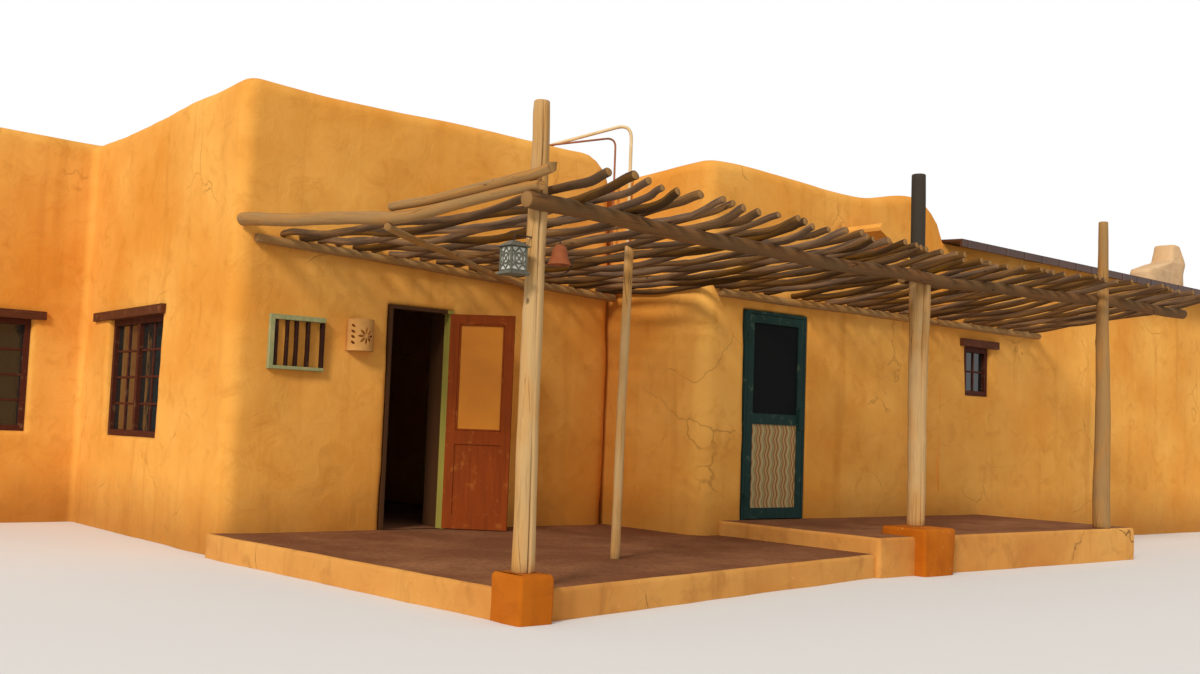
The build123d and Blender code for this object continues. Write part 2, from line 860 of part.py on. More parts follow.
# Inner post: thin, from the patio to the underside of the latilla over it
inner_points, inner_latilla_radius = min(
    bays["latillas_left"], key=lambda pole: abs(pole[0][2][0] - inner_post_x)
)
share = (inner_points[2][1] - inner_post_y) / (inner_points[2][1] - inner_points[3][1])
inner_top = [a + share * (b - a) for a, b in zip(inner_points[2], inner_points[3])]
inner_slope = abs(inner_points[3][2] - inner_points[2][2]) / abs(inner_points[3][1] - inner_points[2][1])
inner_top[2] -= inner_latilla_radius + rest_gap + inner_slope * inner_post_radius - inner_post_radius
with BuildPart() as inner_post:
    log(
        [(inner_post_x, inner_post_y, patio_z - inner_post_radius), tuple(inner_top)],
        [inner_post_radius, inner_post_radius],
    )
    box_between(
        inner_post_x - wall, inner_post_x + wall, inner_post_y - wall, inner_post_y + wall,
        patio_z, inner_top[2] - inner_post_radius, mode=Mode.INTERSECT,
    )
write(inner_post.part, "inner_post")

# Windows: a rebated frame with a middle stile for two sashes, glazed, each
# under a rough plank that runs into the wall


def window_frame_solid(light, lights_wide):
    """The frame of one window and its middle stiles, as one solid."""
    inner = window_setback + window_frame_depth
    light.slab(window_setback, inner, light.start, light.end, light.bottom, light.top)
    clear = (light.end - light.start - window_frame * (lights_wide + 1)) / lights_wide
    for i in range(lights_wide):
        start = light.start + window_frame + i * (clear + window_frame)
        light.slab(
            window_setback, inner, start, start + clear,
            light.bottom + window_frame, light.top - window_frame, Mode.SUBTRACT,
        )


def panes(light, lights_wide):
    """The glass of one window, one sheet in each light."""
    middle_depth = window_setback + window_frame_depth / 2
    clear = (light.end - light.start - window_frame * (lights_wide + 1)) / lights_wide
    for i in range(lights_wide):
        start = light.start + window_frame + i * (clear + window_frame)
        light.slab(
            middle_depth - glass / 2, middle_depth + glass / 2, start, start + clear,
            light.bottom + window_frame, light.top - window_frame,
        )


with BuildPart() as front_windows:
    window_frame_solid(main_left_light, 2)
    window_frame_solid(wing_light, 2)
    window_frame_solid(side_light, 1)
write(front_windows.part, "front_windows")

rear_lights = [*rear_main_lights, rear_entry_light, rear_side_light]
with BuildPart() as rear_windows:
    for light in rear_lights:
        window_frame_solid(light, 2)
write(rear_windows.part, "rear_windows")

with BuildPart() as window_glass:
    for light in (main_left_light, wing_light, *rear_lights):
        panes(light, 2)
    panes(side_light, 1)
write(window_glass.part, "window_glass")

with BuildPart() as window_lintels:
    for light in (main_left_light, wing_light, side_light, *rear_lights):
        light.slab(
            -lintel_projection, lintel_depth, light.lintel_start, light.lintel_end,
            light.top, light.top + lintel_height,
        )
write(window_lintels.part, "window_lintels")


class Doorway:
    """A door hung on pins at one jamb's outer edge; side says which way the leaf lies from them."""

    def __init__(self, x0, x1, face_y, floor_z, top_z, side):
        self.x0 = x0
        self.x1 = x1
        self.face_y = face_y
        self.floor_z = floor_z
        self.top_z = top_z
        self.side = side
        hung = x0 + jamb if side > 0 else x1 - jamb
        self.pin_x = hung + side * door_gap / 2
        self.pin_y = face_y - hinge_offset
        self.leaf_width = x1 - x0 - 2 * jamb - 2 * door_gap
        self.leaf_bottom = floor_z + door_clearance_below
        self.leaf_top = top_z - jamb - door_gap
        self.leaf_start = hung + side * door_gap
        low = self.leaf_bottom + hinge_inset + hinge_length / 2
        high = self.leaf_top - hinge_inset - hinge_length / 2
        self.hinge_z = [low + (high - low) * i / (hinges - 1) for i in range(hinges)]

    def block(self, a, b, outer, inner, bottom, top, mode=Mode.ADD):
        """A box of the closed leaf, along it from its hinge edge and between two depths."""
        ends = sorted((self.leaf_start + self.side * a, self.leaf_start + self.side * b))
        box_between(ends[0], ends[1], self.face_y + outer, self.face_y + inner, bottom, top, mode)

    def barrel(self, z, radius, height, mode=Mode.ADD):
        """A round length on the pins' line."""
        with Locations((self.pin_x, self.pin_y, z)):
            Cylinder(radius, height, mode=mode)

    def frame(self):
        """Jambs and head in the wall's outer edge, with the fixed knuckles and the pins."""
        box_between(self.x0, self.x1, self.face_y, self.face_y + jamb_depth, self.floor_z, self.top_z)
        box_between(
            self.x0 + jamb, self.x1 - jamb, self.face_y, self.face_y + jamb_depth,
            self.floor_z, self.top_z - jamb, mode=Mode.SUBTRACT,
        )
        third = (hinge_length - 2 * hinge_gap) / 3
        for z in self.hinge_z:
            for end in (-1, 1):
                middle_z = z + end * (third + hinge_gap)
                self.barrel(middle_z, hinge_barrel_radius, third)
                plate = sorted((self.pin_x, self.pin_x - self.side * jamb))
                box_between(
                    plate[0], plate[1], self.pin_y, self.face_y, middle_z - third / 2, middle_z + third / 2
                )
            self.barrel(z, hinge_pin_radius, hinge_length)

    def leaf_knuckles(self):
        """The leaf's own knuckle of each hinge, bored for the pin, with its plate on the leaf's face."""
        third = (hinge_length - 2 * hinge_gap) / 3
        for z in self.hinge_z:
            self.barrel(z, hinge_barrel_radius, third)
            self.block(-door_gap / 2, hinge_leaf_width, -hinge_offset, 0, z - third / 2, z + third / 2)
            self.barrel(z, hinge_pin_radius + hinge_fit, third, Mode.SUBTRACT)

    def swung(self, part, angle):
        """A piece of the closed leaf turned about the pins, by degrees outward."""
        return part.rotate(Axis((self.pin_x, self.pin_y, 0), (0, 0, 1)), -self.side * angle)


main_doorway = Doorway(main_door_x0, main_door_x1, front_y, patio_z, main_door_top, -1)
entry_doorway = Doorway(entry_door_x0, entry_door_x1, entry_front_y, terrace_z, entry_door_top, 1)

with BuildPart() as main_door_frame:
    main_doorway.frame()
write(main_door_frame.part, "main_door_frame")

with BuildPart() as entry_door_frame:
    entry_doorway.frame()
write(entry_door_frame.part, "entry_door_frame")

# Main door: a ledged wooden leaf with a tall light over a raised panel
door = main_doorway
width = door.leaf_width
rail_top = door.leaf_bottom + main_lock_rail_height
with BuildPart() as main_door:
    door.block(0, width, 0, main_leaf_thickness, door.leaf_bottom, door.leaf_top)
    door.block(
        main_stile, width - main_stile, 0, main_leaf_thickness,
        rail_top, door.leaf_top - main_stile, Mode.SUBTRACT,
    )
    recess = (main_leaf_thickness - main_panel) / 2
    low = door.leaf_bottom + main_lock_rail
    high = rail_top - main_lock_rail
    for outer, inner in ((0, recess), (main_leaf_thickness - recess, main_leaf_thickness)):
        door.block(main_stile, width - main_stile, outer, inner, low, high, Mode.SUBTRACT)
    door.leaf_knuckles()
write(door.swung(main_door.part, main_open_angle), "main_door")

with BuildPart() as main_door_glass:
    centre = main_leaf_thickness / 2
    door.block(
        main_stile, width - main_stile, centre - glass / 2, centre + glass / 2,
        rail_top, door.leaf_top - main_stile,
    )
write(door.swung(main_door_glass.part, main_open_angle), "main_door_glass")

# Screen door: a light frame with mesh above its middle rail and a panel below
door = entry_doorway
width = door.leaf_width
rail_low = door.leaf_bottom + screen_mid_height
rail_high = rail_low + screen_mid_rail
with BuildPart() as screen_door:
    door.block(0, width, 0, screen_thickness, door.leaf_bottom, door.leaf_top)
    door.block(
        screen_stile, width - screen_stile, 0, screen_thickness,
        rail_high, door.leaf_top - screen_stile, Mode.SUBTRACT,
    )
    door.block(
        screen_stile, width - screen_stile, 0, screen_thickness,
        door.leaf_bottom + screen_mid_rail, rail_low, Mode.SUBTRACT,
    )
    door.leaf_knuckles()
    door.block(
        width - screen_stile + latch_inset, width - latch_inset, -latch_depth, 0,
        rail_low - latch_below, rail_high + latch_above,
    )
write(screen_door.part, "screen_door")

with BuildPart() as screen_door_mesh:
    centre = screen_thickness / 2
    door.block(
        screen_stile, width - screen_stile, centre - mesh / 2, centre + mesh / 2,
        rail_high, door.leaf_top - screen_stile,
    )
write(screen_door_mesh.part, "screen_door_mesh")

with BuildPart() as screen_door_panel:
    door.block(
        screen_stile, width - screen_stile, centre - panel_thickness / 2, centre + panel_thickness / 2,
        door.leaf_bottom + screen_mid_rail, rail_low,
    )
write(screen_door_panel.part, "screen_door_panel")

# Half-round clay sconce on the wall beside the main door
sconce_x = main_x + sconce_left + sconce_radius
with BuildPart() as wall_sconce:
    with BuildSketch(Plane.XY.offset(patio_z + sconce_bottom)):
        with Locations((sconce_x, front_y)):
            Circle(sconce_radius)
            Circle(sconce_radius - sconce_wall, mode=Mode.SUBTRACT)
    extrude(amount=sconce_height)
    with BuildSketch(Plane.XY.offset(patio_z + sconce_bottom)):
        with Locations((sconce_x, front_y)):
            Circle(sconce_radius)
    extrude(amount=sconce_wall)
    box_between(
        sconce_x - sconce_radius, sconce_x + sconce_radius, front_y, front_y + sconce_radius,
        0, sky, mode=Mode.SUBTRACT,
    )
write(wall_sconce.part, "wall_sconce")

# Old sash hung on the wall as a plant rack
with BuildPart() as wall_rack:
    rack_x0 = main_x + rack_left
    rack_z0 = patio_z + rack_bottom
    box_between(
        rack_x0, rack_x0 + rack_width, front_y - rack_depth, front_y, rack_z0, rack_z0 + rack_height
    )
    clear_x = (rack_width - 3 * rack_bar) / 2
    clear_z = (rack_height - 3 * rack_bar) / 2
    for i in range(2):
        for j in range(2):
            x = rack_x0 + rack_bar + i * (clear_x + rack_bar)
            z = rack_z0 + rack_bar + j * (clear_z + rack_bar)
            box_between(x, x + clear_x, front_y - rack_depth, front_y, z, z + clear_z, mode=Mode.SUBTRACT)
write(wall_rack.part, "wall_rack")

# Plastered hood over the terrace, tilted to one side
hood_x = entry_x + hood_from_entry + hood_width / 2
with BuildPart() as wall_hood:
    with BuildSketch(Plane.XZ.offset(-entry_front_y)):
        with Locations(Location((hood_x, patio_z + hood_height), -hood_tilt)):
            Rectangle(hood_width, hood_thickness)
    extrude(amount=hood_out)
    chamfer(edges().filter_by(Axis.Y), hood_edge)
write(wall_hood.part, "wall_hood")

# Pipes that rise from the roof, bend over the parapet's end and come down in
# the corner of the two blocks


def pipe(roof_from_side, roof_back, peak, from_side, front, bend, radius):
    """One pipe, from its place on the roof over its peak to its place before the walls."""
    roof_x = entry_x - roof_from_side
    roof_y = front_y + wall + roof_back
    down_x = entry_x - from_side
    down_y = front_y - front
    with BuildLine() as route:
        FilletPolyline(
            (roof_x, roof_y, main_roof_top + rest_gap),
            (roof_x, roof_y, main_roof_top + pipe_stub),
            (down_x, down_y, patio_z + peak),
            (down_x, down_y, patio_z + pipe_foot),
            radius=bend,
        )
    points = [tuple(route.line @ (i / pipe_steps)) for i in range(pipe_steps + 1)]
    log(points, [radius] * len(points), pipe_sides)


with BuildPart() as roof_pipe:
    pipe(
        cream_pipe_roof_from_side, cream_pipe_roof_back, cream_pipe_peak,
        cream_pipe_from_side, cream_pipe_front, cream_pipe_bend, cream_pipe_radius,
    )
    pipe(
        copper_pipe_roof_from_side, copper_pipe_roof_back, copper_pipe_peak,
        copper_pipe_from_side, copper_pipe_front, copper_pipe_bend, copper_pipe_radius,
    )
write(roof_pipe.part, "roof_pipe")


def tier(x, y, bottom, height, foot, head, sides, mode=Mode.ADD):
    """An upright length of a lantern or bell, of foot and head radius to its flats, in the open part."""
    with BuildSketch(Plane.XY.offset(bottom)) as section:
        with Locations((x, y)):
            RegularPolygon(foot, sides, major_radius=False, rotation=180 / sides)
    slope = math.degrees(math.atan((foot - head) / height))
    extrude(section.sketch, amount=height, taper=slope, mode=mode)


def hanger(x, y, z):
    """An arm out from the left post at a height, and the hook down from its end."""
    share = (z - left_post_foot) / (left_beam[0][2] - left_post_foot)
    radius = left_post_base_radius + share * (left_post_radius - left_post_base_radius)
    away = Vector(x - left_post_x, y - left_post_y).normalized()
    flat = radius * math.cos(math.pi / post_sides)
    near = Vector(left_post_x, left_post_y, z) + away * (flat + seat_room)
    corner = Vector(x, y, z)
    length = (corner - near).length + hook_radius
    for start, way, amount in ((near, away, length), (corner, Vector(0, 0, -1), hook_rise)):
        with BuildSketch(Plane(origin=start, z_dir=way)) as section:
            RegularPolygon(hook_radius, hook_sides)
        extrude(section.sketch, amount=amount)


# Lantern: a square tin body on a flared base, under a hipped top
lantern_x = left_post_x - lantern_out
lantern_y = left_post_y - lantern_front
lantern_z = patio_z + lantern_top
eave_z = lantern_z - lantern_roof_height
body_z = eave_z - lantern_body_height
base_z = body_z - lantern_base_height
with BuildPart() as lantern:
    flare = lantern_flare / 2
    body = lantern_width / 2
    tier(lantern_x, lantern_y, base_z, lantern_base_height, flare, body, lantern_sides)
    tier(lantern_x, lantern_y, body_z, lantern_body_height, body, body, lantern_sides)
    tier(lantern_x, lantern_y, eave_z, lantern_roof_height, flare, lantern_cap_width / 2, lantern_sides)
    hanger(lantern_x, lantern_y, lantern_z + hook_rise)
write(lantern.part, "lantern")

# Clay bell: thin-walled, with a flared rim
bell_x = left_post_x + bell_out
bell_y = left_post_y - bell_front
bell_z = patio_z + bell_bottom
with BuildPart() as clay_bell:
    heights = [0, bell_waist_height, bell_shoulder_height, bell_height]
    radii = [bell_radius, bell_waist_radius, bell_shoulder_radius, bell_crown_radius]
    for i in range(3):
        rise = heights[i + 1] - heights[i]
        tier(bell_x, bell_y, bell_z + heights[i], rise, radii[i], radii[i + 1], bell_sides)
    hollow = [radius - bell_wall for radius in radii]
    for i in range(2):
        rise = heights[i + 1] - heights[i]
        tier(
            bell_x, bell_y, bell_z + heights[i], rise, hollow[i], hollow[i + 1], bell_sides,
            Mode.SUBTRACT,
        )
    hanger(bell_x, bell_y, bell_z + bell_height + hook_rise)
write(clay_bell.part, "clay_bell")
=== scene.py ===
import math

import bmesh
import bpy
import numpy as np
from mathutils import Matrix, Vector


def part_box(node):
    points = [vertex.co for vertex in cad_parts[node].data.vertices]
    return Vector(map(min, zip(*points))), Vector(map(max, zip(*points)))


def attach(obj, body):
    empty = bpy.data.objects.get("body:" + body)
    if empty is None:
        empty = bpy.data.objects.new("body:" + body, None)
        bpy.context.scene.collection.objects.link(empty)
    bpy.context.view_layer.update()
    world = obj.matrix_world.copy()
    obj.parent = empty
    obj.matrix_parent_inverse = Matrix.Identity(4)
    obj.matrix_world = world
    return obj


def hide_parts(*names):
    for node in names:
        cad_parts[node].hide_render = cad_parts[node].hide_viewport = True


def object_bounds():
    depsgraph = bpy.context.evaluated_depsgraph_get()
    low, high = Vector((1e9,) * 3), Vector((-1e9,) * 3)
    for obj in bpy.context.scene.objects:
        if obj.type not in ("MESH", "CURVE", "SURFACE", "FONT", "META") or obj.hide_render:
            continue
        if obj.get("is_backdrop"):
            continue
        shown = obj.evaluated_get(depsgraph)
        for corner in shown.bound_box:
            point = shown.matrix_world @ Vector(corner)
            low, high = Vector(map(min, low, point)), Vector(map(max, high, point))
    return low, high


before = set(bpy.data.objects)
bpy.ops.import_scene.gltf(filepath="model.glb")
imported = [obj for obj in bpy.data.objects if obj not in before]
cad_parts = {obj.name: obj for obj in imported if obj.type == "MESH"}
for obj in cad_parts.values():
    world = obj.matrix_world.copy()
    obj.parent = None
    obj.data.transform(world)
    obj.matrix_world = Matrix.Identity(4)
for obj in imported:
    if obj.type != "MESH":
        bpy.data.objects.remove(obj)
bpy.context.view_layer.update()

# The camera stands where the photograph was taken: on low ground to the left
# of the portal, looking slightly up at the main block's front corner.
CAMERA_PLACE = Vector((-10.851, -11.672, 1.183))
CAMERA_YAW = math.radians(39.5)
CAMERA_PITCH = math.radians(4.3)
CAMERA_ROLL = math.radians(2.1)
CAMERA_LENS = 37.5
SENSOR_WIDTH = 36.0

ahead = Vector((
    math.sin(CAMERA_YAW) * math.cos(CAMERA_PITCH),
    math.cos(CAMERA_YAW) * math.cos(CAMERA_PITCH),
    math.sin(CAMERA_PITCH),
))
level_right = Vector((math.cos(CAMERA_YAW), -math.sin(CAMERA_YAW), 0.0))
level_up = level_right.cross(ahead)
camera_right = math.cos(CAMERA_ROLL) * level_right + math.sin(CAMERA_ROLL) * level_up
camera_up = camera_right.cross(ahead)
camera_data = bpy.data.cameras.new("camera")
camera_data.lens = CAMERA_LENS
camera_data.sensor_width = SENSOR_WIDTH
camera = bpy.data.objects.new("camera", camera_data)
facing = Matrix((camera_right, camera_up, -ahead)).transposed()
camera.matrix_world = Matrix.Translation(CAMERA_PLACE) @ facing.to_4x4()
bpy.context.scene.collection.objects.link(camera)
bpy.context.scene.camera = camera

# The masonry is sun-dried mud brick under hand-floated mud plaster. Each block
# is one shell: a wall line with rounded corners in plan, carried up over a
# rounded parapet and down inside, with its windows and doorways cut through.
BODY = "house"
PLASTER_STEP = 0.085
WALL_THICKNESS = 0.40
PLAN_RADIUS = 0.17
PARAPET_OUTER = 0.13
PARAPET_INNER = 0.07
WALL_LEAN = 0.006
HOLE_ROUNDING = 0.05
ARC_STEPS = 6
LUMP_SIZE = 1.1
LUMP_HEIGHT = 0.013
SMALL_LUMP_SIZE = 0.34
SMALL_LUMP_HEIGHT = 0.0045


def linear(code):
    """The linear colour of an sRGB hex value: each channel over 12.92, or raised to the power 2.4."""
    channels = [int(code[i:i + 2], 16) / 255 for i in (1, 3, 5)]
    return (*(c / 12.92 if c <= 0.04045 else ((c + 0.055) / 1.055) ** 2.4 for c in channels), 1.0)


def add(tree, kind, inputs=None, **settings):
    """Adds a node, sets it up, and fills its inputs from values or from other nodes' outputs."""
    node = tree.nodes.new("ShaderNode" + kind)
    for name, value in settings.items():
        setattr(node, name, value)
    for name, value in (inputs or {}).items():
        if isinstance(value, bpy.types.NodeSocket):
            tree.links.new(value, node.inputs[name])
        else:
            node.inputs[name].default_value = value
    return node


def new_material(name, roughness, level=0.3):
    """A material with its node tree, its shader and its Object coordinates."""
    made = bpy.data.materials.new(name)
    made.use_nodes = True
    tree = made.node_tree
    shader = tree.nodes["Principled BSDF"]
    shader.inputs["Roughness"].default_value = roughness
    shader.inputs["Specular IOR Level"].default_value = level
    return made, tree, shader, add(tree, "TexCoord").outputs["Object"]


# Patterns in repeats to the metre: float sweeps 250 mm apart, rain streaks
# 200 mm apart, chopped straw every 40 mm, cracks round cells of 0.8 m. Real
# grit is 1 to 2 mm; here it is 11 mm, as coarse as it needs to show.
PATCHES = 0.55
SWEEPS = 4.0
RAIN_STREAKS = (5.0, 5.0, 0.35)
GRIT = 90.0
STRAWS = 24.0
CRACK_CELLS = 1.3
CRACK_EDGE = 0.008
SPLASH_TOP = 0.75
SPLASH_FULL = 0.2


def plaster(name, base, pale, dark, crack_colour, foot_z, cracks=0.5, straw="#F2CE8C"):
    """Mud plaster with chopped straw, matt and dusty: broad patches, float sweeps, rain streaks, a foot splashed
    by rain and fine cracks."""
    made, tree, shader, place = new_material(name, roughness=0.93, level=0.15)
    patches = add(tree, "TexNoise", {"Vector": place, "Scale": PATCHES, "Detail": 5.0, "Roughness": 0.6})
    sweeps = add(tree, "TexNoise", {
        "Vector": place, "Scale": SWEEPS, "Detail": 6.0, "Roughness": 0.65, "Distortion": 0.6,
    })
    falling = add(tree, "Mapping", {"Vector": place, "Scale": RAIN_STREAKS})
    streaks = add(tree, "TexNoise", {"Vector": falling.outputs[0], "Scale": 1.0, "Detail": 4.0})
    grit = add(tree, "TexNoise", {"Vector": place, "Scale": GRIT, "Detail": 3.0})
    flecks = add(tree, "TexVoronoi", {"Vector": place, "Scale": STRAWS})
    chance = add(tree, "SeparateXYZ", {0: flecks.outputs["Color"]})
    height = add(tree, "SeparateXYZ", {0: place}).outputs[2]
    uneven = add(tree, "Math", {0: sweeps.outputs[0], 1: 0.5, 2: height}, operation="MULTIPLY_ADD")
    wander = add(tree, "TexNoise", {"Vector": place, "Scale": 1.6, "Detail": 4.0})
    bent = add(tree, "Mix", {0: 0.35, 4: place, 5: wander.outputs[1]}, data_type="VECTOR").outputs[1]
    cells = add(tree, "TexVoronoi", {"Vector": bent, "Scale": CRACK_CELLS}, feature="DISTANCE_TO_EDGE")
    broad, swept, washed, size, splashed, line, broken = (
        add(tree, "MapRange", {
            "Value": node.outputs[0], "From Min": start, "From Max": end, "To Min": first, "To Max": last,
        }).outputs[0]
        for node, start, end, first, last in (
            (patches, 0.36, 0.66, 0.0, 1.0), (sweeps, 0.52, 0.78, 0.0, 0.55), (streaks, 0.56, 0.75, 0.0, 0.4),
            (chance, 0.6, 1.0, 0.0, 0.17), (uneven, foot_z + SPLASH_TOP, foot_z + SPLASH_FULL, 0.0, 0.55),
            (cells, 0.0, CRACK_EDGE, 1.0, 0.0), (patches, 0.54, 0.6, 0.0, cracks),
        )
    )
    inside = add(tree, "Math", {0: flecks.outputs["Distance"], 1: size}, operation="LESS_THAN").outputs[0]
    fleck = add(tree, "Math", {0: inside, 1: 0.4}, operation="MULTIPLY").outputs[0]
    straw_or_pit = add(
        tree, "Mix", {0: chance.outputs[1], 6: linear(dark), 7: linear(straw)}, data_type="RGBA"
    ).outputs[2]
    cracked = add(tree, "Math", {0: line, 1: broken}, operation="MULTIPLY").outputs[0]
    colour = linear(base)
    for share, over in (
        (broad, linear(pale)), (swept, linear(dark)), (washed, linear(dark)), (fleck, straw_or_pit),
        (splashed, linear(crack_colour)), (cracked, linear(crack_colour)),
    ):
        colour = add(tree, "Mix", {0: share, 6: colour, 7: over}, data_type="RGBA").outputs[2]
    tree.links.new(colour, shader.inputs["Base Color"])
    floated = add(tree, "Bump", {"Height": sweeps.outputs[0], "Strength": 0.55, "Distance": 0.02})
    gritty = add(tree, "Bump", {
        "Height": grit.outputs[0], "Strength": 0.35, "Distance": 0.003, "Normal": floated.outputs[0],
    })
    open_cracks = add(tree, "Bump", {
        "Height": cracked, "Strength": 0.5, "Distance": 0.006, "Normal": gritty.outputs[0],
    }, invert=True)
    tree.links.new(open_cracks.outputs[0], shader.inputs["Normal"])
    return made


# Golden ochre mud: pale where the sun has dried it, darker where rain runs.
adobe = plaster("adobe_mud_plaster", "#DD9035", "#EFAF54", "#C37A27", "#8E5622", foot_z=0.15)


def lumps(points, size, height, seed=0.0):
    """Height of a hand-floated surface: eight sine waves, each in its own fixed direction and a little longer
    than the one before."""
    total = np.zeros(points.shape[:-1])
    for k in range(8):
        turn = 2.4 * k + seed
        way = np.array([math.cos(turn), math.sin(turn), 0.9 * math.cos(1.7 * k + seed)])
        way /= np.linalg.norm(way)
        total += np.sin(points @ way * (2 * math.pi / (size * (0.6 + 0.17 * k))) + 1.9 * k * k + seed)
    return total * height / 3


def spaced(start, end, step, marks=()):
    """Evenly spaced values from start to end. The marks that lie between take the place of near neighbours."""
    even = np.linspace(start, end, max(int(round((end - start) / step)), 1) + 1)
    marks = np.array([m for m in marks if start + 1e-6 < m < end - 1e-6])
    if len(marks):
        away = np.abs(even[:, None] - marks[None, :]).min(axis=1) > 0.3 * HOLE_ROUNDING
        away[[0, -1]] = True
        even = np.concatenate([even[away], marks])
    return np.unique(np.round(even, 6))


def around(low, high):
    """The lines that a rounded edge needs on both sides of a hole's two limits."""
    share = np.array([0.0, 0.18, 0.45, 1.0]) * HOLE_ROUNDING
    return np.concatenate([low - share, high + share])


def new_object(name, vertices, faces, materials, body=BODY, sharp=40.0, slot=None):
    """Makes a mesh from arrays, smooth but for edges sharper than the angle, and lets it ride on its body."""
    mesh = bpy.data.meshes.new(name)
    mesh.from_pydata(np.asarray(vertices, float).reshape(-1, 3).tolist(), [], [list(map(int, f)) for f in faces])
    mesh.polygons.foreach_set("use_smooth", np.ones(len(mesh.polygons), bool))
    mesh.set_sharp_from_angle(angle=math.radians(sharp))
    for one in materials:
        mesh.materials.append(one)
    made = bpy.data.objects.new(name, mesh)
    bpy.context.scene.collection.objects.link(made)
    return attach(made, body)


def cleaned(made):
    """Merges the points that fall together in the inner corners and drops the faces that they close."""
    mesh = made.data
    work = bmesh.new()
    work.from_mesh(mesh)
    bmesh.ops.remove_doubles(work, verts=work.verts, dist=0.0002)
    bmesh.ops.dissolve_degenerate(work, edges=work.edges, dist=0.0002)
    work.to_mesh(mesh)
    work.free()
    mesh.set_sharp_from_angle(angle=math.radians(40))
    return made


